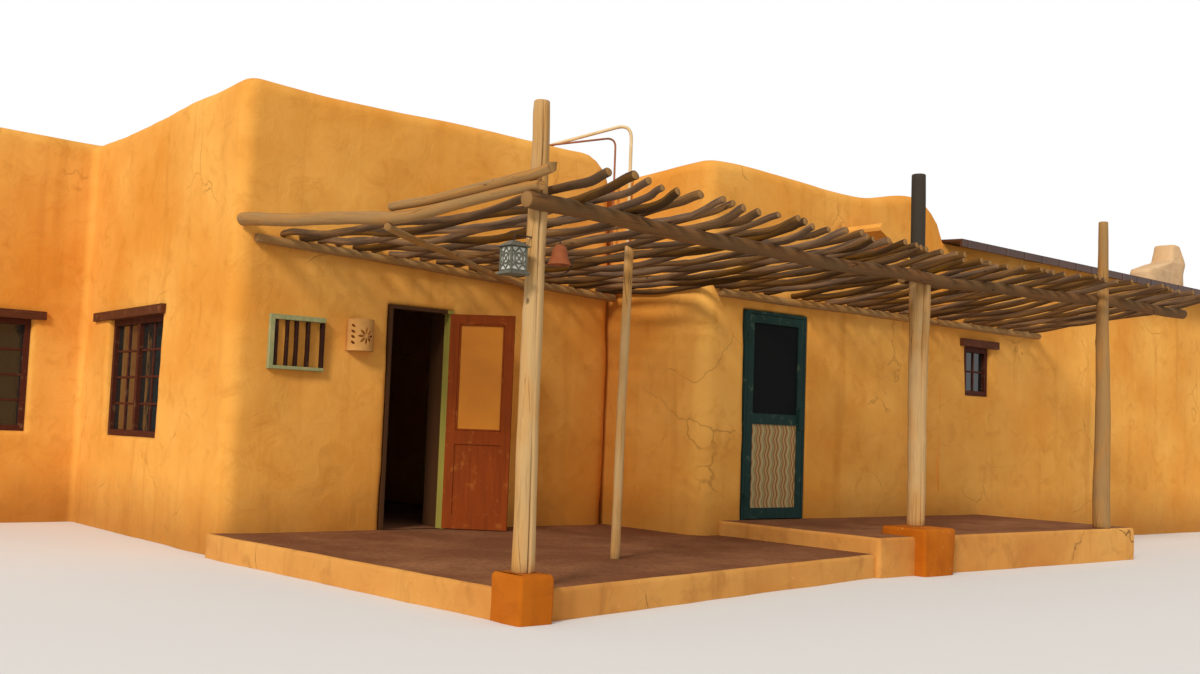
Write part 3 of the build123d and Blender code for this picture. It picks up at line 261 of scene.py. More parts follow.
def wall_shell(name, corners, radii, height_at, holes, closed, edge_radii=(PARAPET_OUTER, PARAPET_INNER)):
    """A wall line as one closed surface. Along the line go straight runs joined by arcs. Across it go the outer
    face, leaning in with height, a quarter circle up, the top, a quarter circle down and the inner face.
    Each hole is (run, start, end, bottom, top), with start and end measured from the run's first corner."""
    corners = np.array(corners, float)
    count = len(corners)
    runs = count if closed else count - 1
    way = np.array([corners[(i + 1) % count] - corners[i] for i in range(runs)])
    lengths = np.linalg.norm(way, axis=1)
    way /= lengths[:, None]
    out = np.stack([way[:, 1], -way[:, 0]], axis=1)
    inner_corner = []
    for j in range(count):
        ends = [k for k in (j - 1, j) if closed or 0 <= k < runs]
        inner_corner.append(corners[j] - WALL_THICKNESS * sum(out[k % runs] for k in ends))
    outer, normal, inner, run_of, along = [], [], [], [], []
    for i in range(runs):
        first, last = radii[i], radii[(i + 1) % count]
        marks = np.concatenate([around(h[1], h[2]) for h in holes if h[0] == i] or [np.empty(0)])
        s = spaced(first, lengths[i] - last, PLASTER_STEP, marks)
        points = corners[i] + s[:, None] * way[i]
        start, end = inner_corner[i], inner_corner[(i + 1) % count]
        t = np.clip((points - WALL_THICKNESS * out[i] - start) @ way[i], 0, np.linalg.norm(end - start))
        outer.append(points)
        normal.append(np.repeat(out[i][None], len(s), 0))
        inner.append(start + t[:, None] * way[i])
        run_of.append(np.full(len(s), i))
        along.append(s)
        j = (i + 1) % count
        if closed or i < runs - 1:
            after = out[(i + 1) % runs]
            turn = np.linspace(0, math.pi / 2, ARC_STEPS + 1)[1:-1]
            bulge = 1.0 if way[i][0] * way[(i + 1) % runs][1] - way[i][1] * way[(i + 1) % runs][0] > 0 else -1.0
            radial = np.cos(turn)[:, None] * out[i] + np.sin(turn)[:, None] * after
            centre = corners[j] - bulge * radii[j] * (out[i] + after)
            outer.append(centre + bulge * radii[j] * radial)
            normal.append(radial)
            inner.append(np.repeat(inner_corner[j][None], len(turn), 0))
            run_of.append(np.full(len(turn), -1))
            along.append(np.zeros(len(turn)))
    outer, normal, inner = (np.concatenate(part) for part in (outer, normal, inner))
    run_of, along = np.concatenate(run_of), np.concatenate(along)
    top = height_at(outer)
    level_marks = np.concatenate([around(h[3], h[4]) for h in holes] or [np.empty(0)])
    level_top = round(top.min() - max(edge_radii) - 0.02, 3)
    levels = spaced(0.0, level_top, PLASTER_STEP, level_marks)
    edge = top - edge_radii[0]
    quarter = np.linspace(0, math.pi / 2, ARC_STEPS + 1)
    outer_w = edge_radii[0] * (1 - np.cos(quarter)) / WALL_THICKNESS
    inner_w = 1 - edge_radii[1] * (1 - np.cos(quarter[::-1])) / WALL_THICKNESS
    outer_drop = edge_radii[0] * (1 - np.sin(quarter))
    inner_drop = edge_radii[1] * (1 - np.sin(quarter[::-1]))
    middle_w = np.linspace(outer_w[-1], inner_w[0], 4)[1:-1]
    across = np.concatenate([np.zeros(len(levels)), outer_w, middle_w, inner_w, np.ones(len(levels))])
    columns = len(outer)
    z = np.concatenate([
        np.repeat(levels[:, None], columns, 1),
        top - outer_drop[:, None],
        np.repeat(top[None], 2, 0),
        top - inner_drop[:, None],
        np.repeat(levels[::-1, None], columns, 1),
    ])
    flat = outer[None] + across[:, None, None] * (inner - outer)[None]
    points = np.concatenate([flat, z[:, :, None]], axis=2)
    push = (1 - across)[:, None] * (
        lumps(points, LUMP_SIZE, LUMP_HEIGHT) + lumps(points, SMALL_LUMP_SIZE, SMALL_LUMP_HEIGHT, 3.0)
        - WALL_LEAN * z
    )
    face = np.arange(len(across)) < len(levels)
    for run, start, end, bottom, over in holes:
        aside = np.where(run_of == run, np.maximum(np.maximum(start - along, along - end), 0), 9.0)[None]
        above = np.maximum(np.maximum(bottom - z, z - over), 0)
        near = np.clip(1 - np.hypot(aside, above) / HOLE_ROUNDING, 0, 1)
        push -= np.where(face[:, None], HOLE_ROUNDING * (1 - np.sqrt(1 - near ** 2)), 0)
    points[:, :, :2] += push[:, :, None] * normal[None]
    rows = len(across)
    index = np.arange(rows * columns).reshape(rows, columns)
    keep = np.ones((rows, columns), bool)
    bridges = []
    for run, start, end, bottom, over in holes:
        c0 = int(np.flatnonzero((run_of == run) & (np.abs(along - start) < 1e-5))[0])
        c1 = int(np.flatnonzero((run_of == run) & (np.abs(along - end) < 1e-5))[0])
        r0 = int(np.abs(levels - bottom).argmin())
        r1 = int(np.abs(levels - over).argmin())
        back = rows - 1
        keep[r0:r1, c0:c1] = False
        keep[back - r1:back - r0, c0:c1] = False
        r = np.arange(r0, r1)
        c = np.arange(c0, c1)
        bridges.append(np.stack([index[back - r, c0], index[back - r - 1, c0], index[r + 1, c0], index[r, c0]], 1))
        bridges.append(np.stack([index[r, c1], index[r + 1, c1], index[back - r - 1, c1], index[back - r, c1]], 1))
        bridges.append(np.stack([index[back - r1, c], index[back - r1, c + 1], index[r1, c + 1], index[r1, c]], 1))
        if r0 > 0:
            far = index[back - r0]
            bridges.append(np.stack([index[r0, c], index[r0, c + 1], far[c + 1], far[c]], 1))
        else:
            keep[rows - 1, c0:c1] = False
    next_row = np.roll(index, -1, axis=0)
    next_column = np.roll(index, -1, axis=1)
    corner = np.roll(next_row, -1, axis=1)
    if not closed:
        keep[:, -1] = False
    quads = np.stack([index[keep], next_column[keep], corner[keep], next_row[keep]], axis=1)
    faces = np.concatenate([quads, *bridges]).tolist()
    if not closed:
        faces += [index[:, 0].tolist(), index[::-1, -1].tolist()]
    return cleaned(new_object(name, points, faces, [adobe], slot="adobe"))


def islands(node):
    """The separate solids of a CAD node, each as its own points: points at one place are one, and the smallest
    label spreads along the triangles until none changes."""
    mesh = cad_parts[node].data
    points = np.empty(len(mesh.vertices) * 3)
    mesh.vertices.foreach_get("co", points)
    places, same = np.unique(np.round(points.reshape(-1, 3), 5), axis=0, return_inverse=True)
    triangles = np.empty(len(mesh.polygons) * 3, int)
    mesh.polygons.foreach_get("vertices", triangles)
    triangles = same.ravel()[triangles.reshape(-1, 3)]
    label = np.arange(len(places))
    while True:
        low = label[triangles].min(axis=1)
        spread = label.copy()
        for k in range(3):
            np.minimum.at(spread, triangles[:, k], low)
        if (spread == label).all():
            break
        label = spread
    return [places[label == one] for one in np.unique(label)]


def box_of(points):
    """The lowest and the highest corner of some points."""
    return points.min(axis=0), points.max(axis=0)


main_low, main_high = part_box("main_front_left_wall")
right_low, right_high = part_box("main_front_right_wall")
wing_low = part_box("wing_front_wall")[0]
MAIN_X, FRONT_Y, MAIN_TOP = main_low.x, main_low.y, main_high.z
ENTRY_X = right_high.x
BACK_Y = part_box("main_rear_wall")[1].y
WING_X, WING_Y = wing_low.x, wing_low.y
MAIN_DOOR_X = (main_high.x, right_low.x)
PATIO_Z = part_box("lower_patio")[1].z
MAIN_DOOR_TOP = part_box("main_over_door_wall")[0].z
front_frames = [box_of(points) for points in islands("front_windows")]
rear_frames = [box_of(points) for points in islands("rear_windows")]


def window_hole(low, high, run, corner, axis, way):
    """The hole of one window frame, measured along its run from the run's first corner."""
    ends = sorted(((low[axis] - corner) * way, (high[axis] - corner) * way))
    return (run, round(ends[0], 4), round(ends[1], 4), round(low[2], 4), round(high[2], 4))


PARAPET_SAG = 0.015
PARAPET_WAVE = 2.6
PARAPET_WAVE_HEIGHT = 0.018
PARAPET_END_START = 0.42
PARAPET_END_WIDTH = 0.37
PARAPET_END_DROP = 0.42


def undulating(top, ends=()):
    """A parapet's height: level with slow waves. At each end (x, y) it falls as a quarter ellipse, which starts
    PARAPET_END_START away and is PARAPET_END_DROP lower after PARAPET_END_WIDTH."""
    def height_at(outer):
        points = np.concatenate([outer, np.zeros((len(outer), 1))], axis=1)
        height = top - PARAPET_SAG + lumps(points, PARAPET_WAVE, PARAPET_WAVE_HEIGHT, 1.0)
        for x, y in ends:
            away = np.hypot(outer[:, 0] - x, outer[:, 1] - y)
            near = np.clip((PARAPET_END_START - away) / PARAPET_END_WIDTH, 0, 1)
            height = height - PARAPET_END_DROP * (1 - np.sqrt(1 - near ** 2))
        return height
    return height_at


# A frame narrower than this from left to right stands in a side wall, and one
# whose front is within NEAR_WALL of a wall line stands in that wall.
SIDE_FRAME = 0.3
NEAR_WALL = 0.5
main_holes = [(0, MAIN_DOOR_X[0] - MAIN_X, MAIN_DOOR_X[1] - MAIN_X, 0.0, MAIN_DOOR_TOP)]
for low, high in front_frames + rear_frames:
    if high[1] < FRONT_Y or low[0] > ENTRY_X:
        continue
    if high[0] - low[0] < SIDE_FRAME and high[0] < MAIN_X + 1:
        main_holes.append(window_hole(low, high, 5, WING_Y, 1, -1))
    elif high[0] - low[0] < SIDE_FRAME:
        main_holes.append(window_hole(low, high, 1, FRONT_Y, 1, 1))
    elif low[1] < WING_Y + NEAR_WALL:
        main_holes.append(window_hole(low, high, 4, WING_X, 0, 1))
    elif low[1] > BACK_Y - NEAR_WALL:
        main_holes.append(window_hole(low, high, 2, ENTRY_X, 0, -1))
main_shell = wall_shell(
    "main_block_plaster",
    [
        (MAIN_X, FRONT_Y), (ENTRY_X, FRONT_Y), (ENTRY_X, BACK_Y), (WING_X, BACK_Y), (WING_X, WING_Y),
        (MAIN_X, WING_Y),
    ],
    [PLAN_RADIUS] * 5 + [0.06],
    undulating(MAIN_TOP, [(ENTRY_X, FRONT_Y)]),
    main_holes, closed=True,
)
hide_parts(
    "wing_front_wall", "wing_end_wall", "main_rear_wall", "main_left_wall", "main_front_left_wall",
    "main_front_right_wall", "main_over_door_wall", "main_right_wall",
)

# The main doorway's reveals, from a little inside the face, are painted dark
# brown as painted shade, the shadow of the deep recess.
REVEAL_START = FRONT_Y + 0.06
REVEAL_MARGIN = 0.02
tree = adobe.node_tree
shader = tree.nodes["Principled BSDF"]
unshaded_plaster = shader.inputs["Base Color"].links[0].from_socket
parted = add(tree, "SeparateXYZ", {0: add(tree, "TexCoord").outputs["Object"]})
within = [
    add(tree, "Math", {
        0: parted.outputs[axis], 1: (low + high) / 2, 2: (high - low) / 2,
    }, operation="COMPARE").outputs[0]
    for axis, low, high in (
        (0, MAIN_DOOR_X[0] - REVEAL_MARGIN, MAIN_DOOR_X[1] + REVEAL_MARGIN),
        (1, REVEAL_START, FRONT_Y + WALL_THICKNESS + REVEAL_MARGIN),
        (2, 0.0, MAIN_DOOR_TOP + REVEAL_MARGIN),
    )
]
# Mask of the reveals, where a dark brown painted shade goes over the plaster.
wear_and_shade = within[0]
for one in within[1:]:
    wear_and_shade = add(tree, "Math", {0: wear_and_shade, 1: one}, operation="MULTIPLY").outputs[0]
painted_reveal_shade = add(tree, "Mix", {0: wear_and_shade, 6: unshaded_plaster, 7: linear("#4A2C14")}, data_type="RGBA").outputs[2]
tree.links.new(painted_reveal_shade, shader.inputs["Base Color"])

# The entry block is the same masonry, a step forward and a little lower. Its
# front parapet swells to a raised shoulder and rounds off at the right end.
entry_low, entry_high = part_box("entry_front_left_wall")
shoulder_low, shoulder_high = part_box("entry_front_right_wall")
ENTRY_Y, ENTRY_TOP = entry_low.y, entry_high.z
SIDE_X, SHOULDER_TOP = shoulder_high.x, shoulder_high.z
SIDE_BACK_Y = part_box("entry_rear_wall")[1].y
ENTRY_DOOR_X = (entry_high.x, shoulder_low.x)
TERRACE_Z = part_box("upper_terrace")[1].z
ENTRY_DOOR_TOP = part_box("entry_over_door_wall")[0].z
ENTRY_ROOF_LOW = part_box("entry_roof")[0].z
SHOULDER_LENGTH = 1.5
SHOULDER_END = 0.5
SHOULDER_DROP = 0.45
SIDE_FALL = 0.36
SIDE_FALL_LENGTH = 0.7
ENTRY_LEFT_END = FRONT_Y + 0.25
ENTRY_RADII = (0.0, PLAN_RADIUS, 0.004, 0.03, 0.0)


def entry_height(outer):
    """Level, then a smooth swell to the shoulder, then a quarter ellipse down at the right end. The right side
    starts SIDE_FALL lower and rises as a parabola."""
    base = undulating(ENTRY_TOP)(outer)
    front = outer[:, 1] < ENTRY_Y + PLAN_RADIUS
    x = outer[:, 0] - (SIDE_X - SHOULDER_LENGTH)
    swell = np.clip(x / (SHOULDER_LENGTH - SHOULDER_END), 0, 1)
    rise = (SHOULDER_TOP - ENTRY_TOP) * swell ** 2 * (3 - 2 * swell)
    fall = np.clip((x - SHOULDER_LENGTH + SHOULDER_END) / SHOULDER_END, 0, 1)
    drop = SHOULDER_DROP * (1 - np.sqrt(1 - 0.98 * fall ** 2))
    side = np.clip((outer[:, 1] - ENTRY_Y) / SIDE_FALL_LENGTH, 0, 1)
    right_end = base - SIDE_FALL * (1 - side) ** 2
    return np.where(front, base + rise - drop, np.where(outer[:, 0] > SIDE_X - 0.01, right_end, base))


entry_corners = [
    (ENTRY_X, ENTRY_LEFT_END), (ENTRY_X, ENTRY_Y), (SIDE_X, ENTRY_Y), (SIDE_X, SIDE_BACK_Y),
    (ENTRY_X, SIDE_BACK_Y),
]
entry_holes = [
    (1, ENTRY_DOOR_X[0] - ENTRY_X, ENTRY_DOOR_X[1] - ENTRY_X, 0.0, ENTRY_DOOR_TOP),
    (2, WALL_THICKNESS, SIDE_BACK_Y - ENTRY_Y - WALL_THICKNESS, 0.0, round(ENTRY_ROOF_LOW, 4)),
]
SIDE_END_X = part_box("side_end_wall")[1].x
SIDE_START_X = SIDE_X - 0.005
side_holes = []
for low, high in front_frames + rear_frames:
    if low[1] < ENTRY_Y + NEAR_WALL and low[0] > SIDE_X:
        side_holes.append(window_hole(low, high, 0, SIDE_START_X, 0, 1))
    elif low[0] > SIDE_X:
        side_holes.append(window_hole(low, high, 2, SIDE_END_X, 0, -1))
    elif low[0] > ENTRY_X and high[1] < SIDE_BACK_Y + 0.1:
        entry_holes.append(window_hole(low, high, 3, SIDE_X, 0, -1))
entry_shell = wall_shell(
    "entry_block_plaster", entry_corners, ENTRY_RADII, entry_height, entry_holes, closed=False
)
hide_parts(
    "entry_left_wall", "entry_front_left_wall", "entry_front_right_wall", "entry_over_door_wall",
    "entry_right_parapet", "entry_rear_wall",
)

# The side range is lower, with walls that stop under its shed roof. Its roof
# is a dark red-brown painted metal sheet with a deep fascia at the eave.
SIDE_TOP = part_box("side_front_wall")[1].z
SIDE_REAR_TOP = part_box("side_rear_wall")[1].z
shed_rise = (SIDE_REAR_TOP - SIDE_TOP) / (SIDE_BACK_Y - ENTRY_Y - WALL_THICKNESS)
side_base = SIDE_TOP - shed_rise * WALL_THICKNESS
side_shell = wall_shell(
    "side_range_plaster",
    [
        (SIDE_START_X, ENTRY_Y), (SIDE_END_X, ENTRY_Y), (SIDE_END_X, SIDE_BACK_Y), (SIDE_START_X, SIDE_BACK_Y),
    ],
    [0.0, PLAN_RADIUS, PLAN_RADIUS, 0.0],
    lambda outer: side_base - 0.004 + shed_rise * (outer[:, 1] - ENTRY_Y),
    side_holes, closed=False, edge_radii=(0.01, 0.01),
)
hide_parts("side_front_wall", "side_end_wall", "side_rear_wall")

# Roofs and floors keep their built shapes: earth on boards above, and floors
# of packed red-brown earth inside, swept dusty where feet don't press it.
ROOF_GRIT = 40.0
FLOOR_GRIT = 30.0


def earth(name, base, dark, pale, grain):
    """Trodden earth, quite dull: dusty patches, darker damp ones and small grit, so many grains to the metre."""
    made, tree, shader, place = new_material(name, roughness=0.95, level=0.1)
    patches = add(tree, "TexNoise", {"Vector": place, "Scale": 1.4, "Detail": 6.0, "Roughness": 0.65})
    fine = add(tree, "TexNoise", {"Vector": place, "Scale": grain, "Detail": 4.0})
    colour = linear(base)
    for noise, start, end, most, code in ((patches, 0.4, 0.7, 1.0, pale), (fine, 0.5, 0.75, 0.6, dark)):
        share = add(tree, "MapRange", {
            "Value": noise.outputs[0], "From Min": start, "From Max": end, "To Max": most,
        }).outputs[0]
        colour = add(tree, "Mix", {0: share, 6: colour, 7: linear(code)}, data_type="RGBA").outputs[2]
    tree.links.new(colour, shader.inputs["Base Color"])
    rough = add(tree, "Bump", {"Height": fine.outputs[0], "Strength": 0.5, "Distance": 0.008})
    tree.links.new(rough.outputs[0], shader.inputs["Normal"])
    return made


def mottled(name, roughness, level, spots, detail, first, second, distortion=0.0):
    """A finish that wanders between two tones, in soft spots so many to the metre."""
    made, tree, shader, place = new_material(name, roughness, level)
    wander = add(tree, "TexNoise", {
        "Vector": place, "Scale": spots, "Detail": detail, "Distortion": distortion,
    }).outputs[0]
    colour = add(tree, "Mix", {0: wander, 6: linear(first), 7: linear(second)}, data_type="RGBA").outputs[2]
    tree.links.new(colour, shader.inputs["Base Color"])
    return made, tree, shader, place


def dress(material, *nodes):
    """Gives CAD nodes a material."""
    for node in nodes:
        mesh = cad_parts[node].data
        mesh.materials.clear()
        mesh.materials.append(material)


roof_earth = earth("packed_roof_earth", "#8A7458", "#5F4C38", "#A08A6A", ROOF_GRIT)
floor_earth = earth("packed_floor_earth", "#7D4E33", "#55331F", "#98684A", FLOOR_GRIT)
dress(roof_earth, "main_roof", "wing_roof", "entry_roof")
dress(floor_earth, "main_floor", "wing_floor", "entry_floor")

# Pressed steel sheet under red-brown paint, chalky from the sun, with a
# standing rib every 0.4 m. A wave texture repeats 3.18 times in each unit.
RIBS = 0.78
roof_paint, tree, shader, place = mottled("painted_steel_roofing", 0.45, 0.4, 3.0, 5.0, "#33180E", "#57321F")
seams = add(tree, "TexWave", {"Vector": place, "Scale": RIBS}, bands_direction="X", wave_profile="SIN")
ribs = add(tree, "MapRange", {"Value": seams.outputs[0], "From Min": 0.93, "From Max": 1.0})
ribbed = add(tree, "Bump", {"Height": ribs.outputs[0], "Strength": 1.0, "Distance": 0.02})
tree.links.new(ribbed.outputs[0], shader.inputs["Normal"])
dress(roof_paint, "side_roof")

# Chimney and hood. The chimney is a stack under a paler lime plaster, which
# narrows to its mouth and has a shoulder on its left. The hood is a tilted
# slab over the terrace in the same mud plaster as the walls.
CHIMNEY_SIDES = 56
CHIMNEY_SQUARENESS = 0.34
CHIMNEY_FOOT = 3.2
CHIMNEY_LUMP_SIZE = 0.4
CHIMNEY_LUMP_HEIGHT = 0.012
dress(adobe, "wall_hood")
chimney_plaster = plaster("chimney_lime_plaster", "#CDA070", "#DDB88C", "#B08656", "#80603E", foot_z=3.0)
chimney_low, chimney_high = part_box("chimney")
CHIMNEY_STEP = 0.04
CHIMNEY_SECTIONS = (
    (CHIMNEY_FOOT, 0.0, 1.0, 0.0, 1.0), (3.9, 0.0, 1.0, 0.0, 1.0), (3.96, 0.03, 1.0, 0.0, 1.0),
    (4.12, 0.54, 1.0, 0.0, 1.0), (4.16, 0.6, 0.99, 0.02, 0.98), (4.39, 0.675, 0.925, 0.1, 0.9),
    (chimney_high.z - 0.01, 0.69, 0.91, 0.13, 0.87), (chimney_high.z, 0.72, 0.88, 0.18, 0.82),
)


def ring_faces(rows, columns, ends=True):
    """Faces of closed rings, one on another: a four-sided one between each two neighbours of a ring and the two
    above them, then the last ring and the first as the ends."""
    index = np.arange(rows * columns).reshape(rows, columns)
    right = np.roll(index, -1, axis=1)
    sides = np.stack([index[:-1], right[:-1], right[1:], index[1:]], axis=2).reshape(-1, 4).tolist()
    return sides + [index[-1].tolist(), index[0, ::-1].tolist()] if ends else sides


def plaster_stack(sections):
    """Rounded rectangles joined up a stack. Each is a height and the shares of the box's two sides where it starts
    and ends; its outline is the cosine and the sine, each raised to a low power, of an angle that goes round."""
    sections = np.array(sections)
    z = np.unique(np.concatenate([np.arange(sections[0, 0], sections[-1, 0], CHIMNEY_STEP), sections[:, 0]]))
    start_x, end_x, start_y, end_y = (np.interp(z, sections[:, 0], sections[:, k])[:, None] for k in range(1, 5))
    angle = np.linspace(0, 2 * math.pi, CHIMNEY_SIDES, endpoint=False)
    across = np.sign(np.cos(angle)) * np.abs(np.cos(angle)) ** CHIMNEY_SQUARENESS
    deep = np.sign(np.sin(angle)) * np.abs(np.sin(angle)) ** CHIMNEY_SQUARENESS
    width, depth = chimney_high.x - chimney_low.x, chimney_high.y - chimney_low.y
    x = chimney_low.x + width * (start_x + end_x + (end_x - start_x) * across) / 2
    y = chimney_low.y + depth * (start_y + end_y + (end_y - start_y) * deep) / 2
    points = np.stack([x, y, np.repeat(z[:, None], CHIMNEY_SIDES, 1)], axis=2)
    outward = np.stack([np.cos(angle), np.sin(angle)], axis=1)
    lump = lumps(points, CHIMNEY_LUMP_SIZE, CHIMNEY_LUMP_HEIGHT)
    points[:, :, :2] += lump[:, :, None] * outward[None]
    return points, ring_faces(*points.shape[:2])


chimney_stack = new_object(
    "chimney_stack", *plaster_stack(CHIMNEY_SECTIONS), [chimney_plaster], slot="chimney_plaster"
)
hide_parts("chimney")

# Footings, patio and terrace: brick and rubble under orange cement plaster,
# worn round at the edges. The patio's top is trodden red-brown earth.
SLAB_EDGE = 0.03
SLAB_STEP = 0.12
SLAB_CORNER = 0.04
SLAB_LUMP_SIZE = 0.5
SLAB_LUMP_HEIGHT = 0.008
FOOTING_CORNER = 0.035
INTO_BLOCK = 0.1
PATIO_GRIT = 26.0
NO_SPLASH = -1.0
footing_plaster = plaster(
    "orange_cement_plaster", "#B05A06", "#C8741E", "#884208", "#5A2E10", foot_z=NO_SPLASH, cracks=0.9
)
slab_plaster = plaster(
    "ochre_slab_plaster", "#C4803A", "#DCA052", "#97602A", "#6A4320", foot_z=NO_SPLASH, cracks=0.9
)
patio_top = earth("trodden_patio_earth", "#75482C", "#4C2F1D", "#926240", PATIO_GRIT)


def slab(name, corners, radius, top, materials, edge=SLAB_EDGE):
    """A low block: its plan line with rounded corners goes up from the ground, over a quarter circle and in to a
    flat top, which takes the last material."""
    corners = np.array(corners, float)
    count = len(corners)
    line, normal = [], []
    for i in range(count):
        before, here, after = corners[i - 1], corners[i], corners[(i + 1) % count]
        come = (here - before) / np.linalg.norm(here - before)
        leave = (after - here) / np.linalg.norm(after - here)
        out_in = np.array([come[1], -come[0]])
        out_on = np.array([leave[1], -leave[0]])
        half = out_in + out_on
        half /= np.linalg.norm(half)
        bend = math.acos(np.clip(come @ leave, -1, 1))
        reach = radius * math.tan(bend / 2)
        turn = np.linspace(0, 1, ARC_STEPS + 1)[:, None]
        blend = out_in * (1 - turn) + out_on * turn
        blend /= np.linalg.norm(blend, axis=1)[:, None]
        centre = here - reach * come - radius * out_in
        line.append(centre + radius * blend)
        normal.append(blend)
        start = here + reach * leave
        next_leave = corners[(i + 2) % count] - after
        next_leave /= np.linalg.norm(next_leave)
        next_bend = math.acos(np.clip(leave @ next_leave, -1, 1))
        end = after - radius * math.tan(next_bend / 2) * leave
        steps = max(int(np.linalg.norm(end - start) / SLAB_STEP), 1)
        s = np.linspace(0, 1, steps + 1)[1:-1, None]
        line.append(start + s * (end - start))
        normal.append(np.repeat(out_on[None], len(s), 0))
    line, normal = np.concatenate(line), np.concatenate(normal)
    quarter = np.linspace(0, math.pi / 2, 6)
    rise = np.concatenate([np.linspace(0.0, top - edge, 4)[:-1], top - edge * (1 - np.sin(quarter))])
    inset = np.concatenate([np.zeros(3), edge * (1 - np.cos(quarter))])
    points = np.concatenate([
        line[None] - inset[:, None, None] * normal[None], np.repeat(rise[:, None, None], len(line), 1),
    ], axis=2)
    lump = lumps(points, SLAB_LUMP_SIZE, SLAB_LUMP_HEIGHT, 2.0) - SLAB_LUMP_HEIGHT
    points[:, :, :2] += lump[:, :, None] * normal[None]
    made = new_object(name, points, ring_faces(*points.shape[:2]), materials, sharp=50)
    made.data.polygons[-2].material_index = len(materials) - 1
    return made


footing_boxes = [box_of(points) for points in islands("post_footings")]
for number, (low, high) in enumerate(footing_boxes):
    footing = slab(
        f"post_footing_{number}",
        [(low[0], low[1]), (high[0], low[1]), (high[0], high[1]), (low[0], high[1])],
        FOOTING_CORNER, high[2], [footing_plaster], edge=FOOTING_CORNER,
    )
    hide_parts("post_footings")
patio_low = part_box("lower_patio")[0]
terrace_low, terrace_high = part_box("upper_terrace")
left_footing = min(footing_boxes, key=lambda b: b[0][0])
PATIO_LIP = 0.15


def box_and_middle(node):
    """The two corners of a node's box, and the middle of its plan."""
    low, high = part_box(node)
    return low, high, (low.x + high.x) / 2, (low.y + high.y) / 2


middle_low, middle_high, middle_x, middle_y = box_and_middle("middle_post")
patio = slab(
    "patio_slab",
    [
        (patio_low.x, FRONT_Y + INTO_BLOCK), (left_footing[0][0] + 0.02, patio_low.y + 0.01),
        (terrace_low.x + INTO_BLOCK, middle_y - PATIO_LIP), (terrace_low.x + INTO_BLOCK, FRONT_Y + INTO_BLOCK),
    ],
    SLAB_CORNER, PATIO_Z, [slab_plaster, patio_top],
)
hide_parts("lower_patio")
terrace = slab(
    "terrace_slab",
    [
        (terrace_low.x, terrace_low.y), (terrace_high.x, terrace_low.y),
        (terrace_high.x, ENTRY_Y + INTO_BLOCK), (terrace_low.x, ENTRY_Y + INTO_BLOCK),
    ],
    SLAB_CORNER, TERRACE_Z, [slab_plaster, patio_top],
)
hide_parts("upper_terrace")

# The portal's timbers are peeled pine logs, weathered grey-brown: round but
# never true, with knots, long drying cracks and sawn ends.
LOG_STEP = 0.07
LOG_SIDES = 20
LOG_SHIFT = 2.4
SPLIT_WIDTH = 0.2
SPLIT_DEPTH = 0.34
HELD_ENDS = 0.3
KNOT_EVERY = 0.45
KNOT_LENGTH = 0.05

# Patterns in repeats to the metre, round the log and along it: fibres 18 mm
# apart, drawn coarser than the real 1 mm so that they show, drying checks
# 50 mm apart, and a knot for each 250 by 380 mm. A wave texture repeats 3.18
# times in each unit, so the growth rings of a sawn end are 8 mm apart.
FIBRES = 55.0
THIN_POLE_FIBRES = 90.0
FIBRES_ALONG = 2.2
RUBBED = (5.0, 1.3, 1.0)
CHECKS = (20.0, 0.8, 1.0)
KNOTS = (4.0, 2.6, 1.0)
GROWTH_RINGS = 40.0


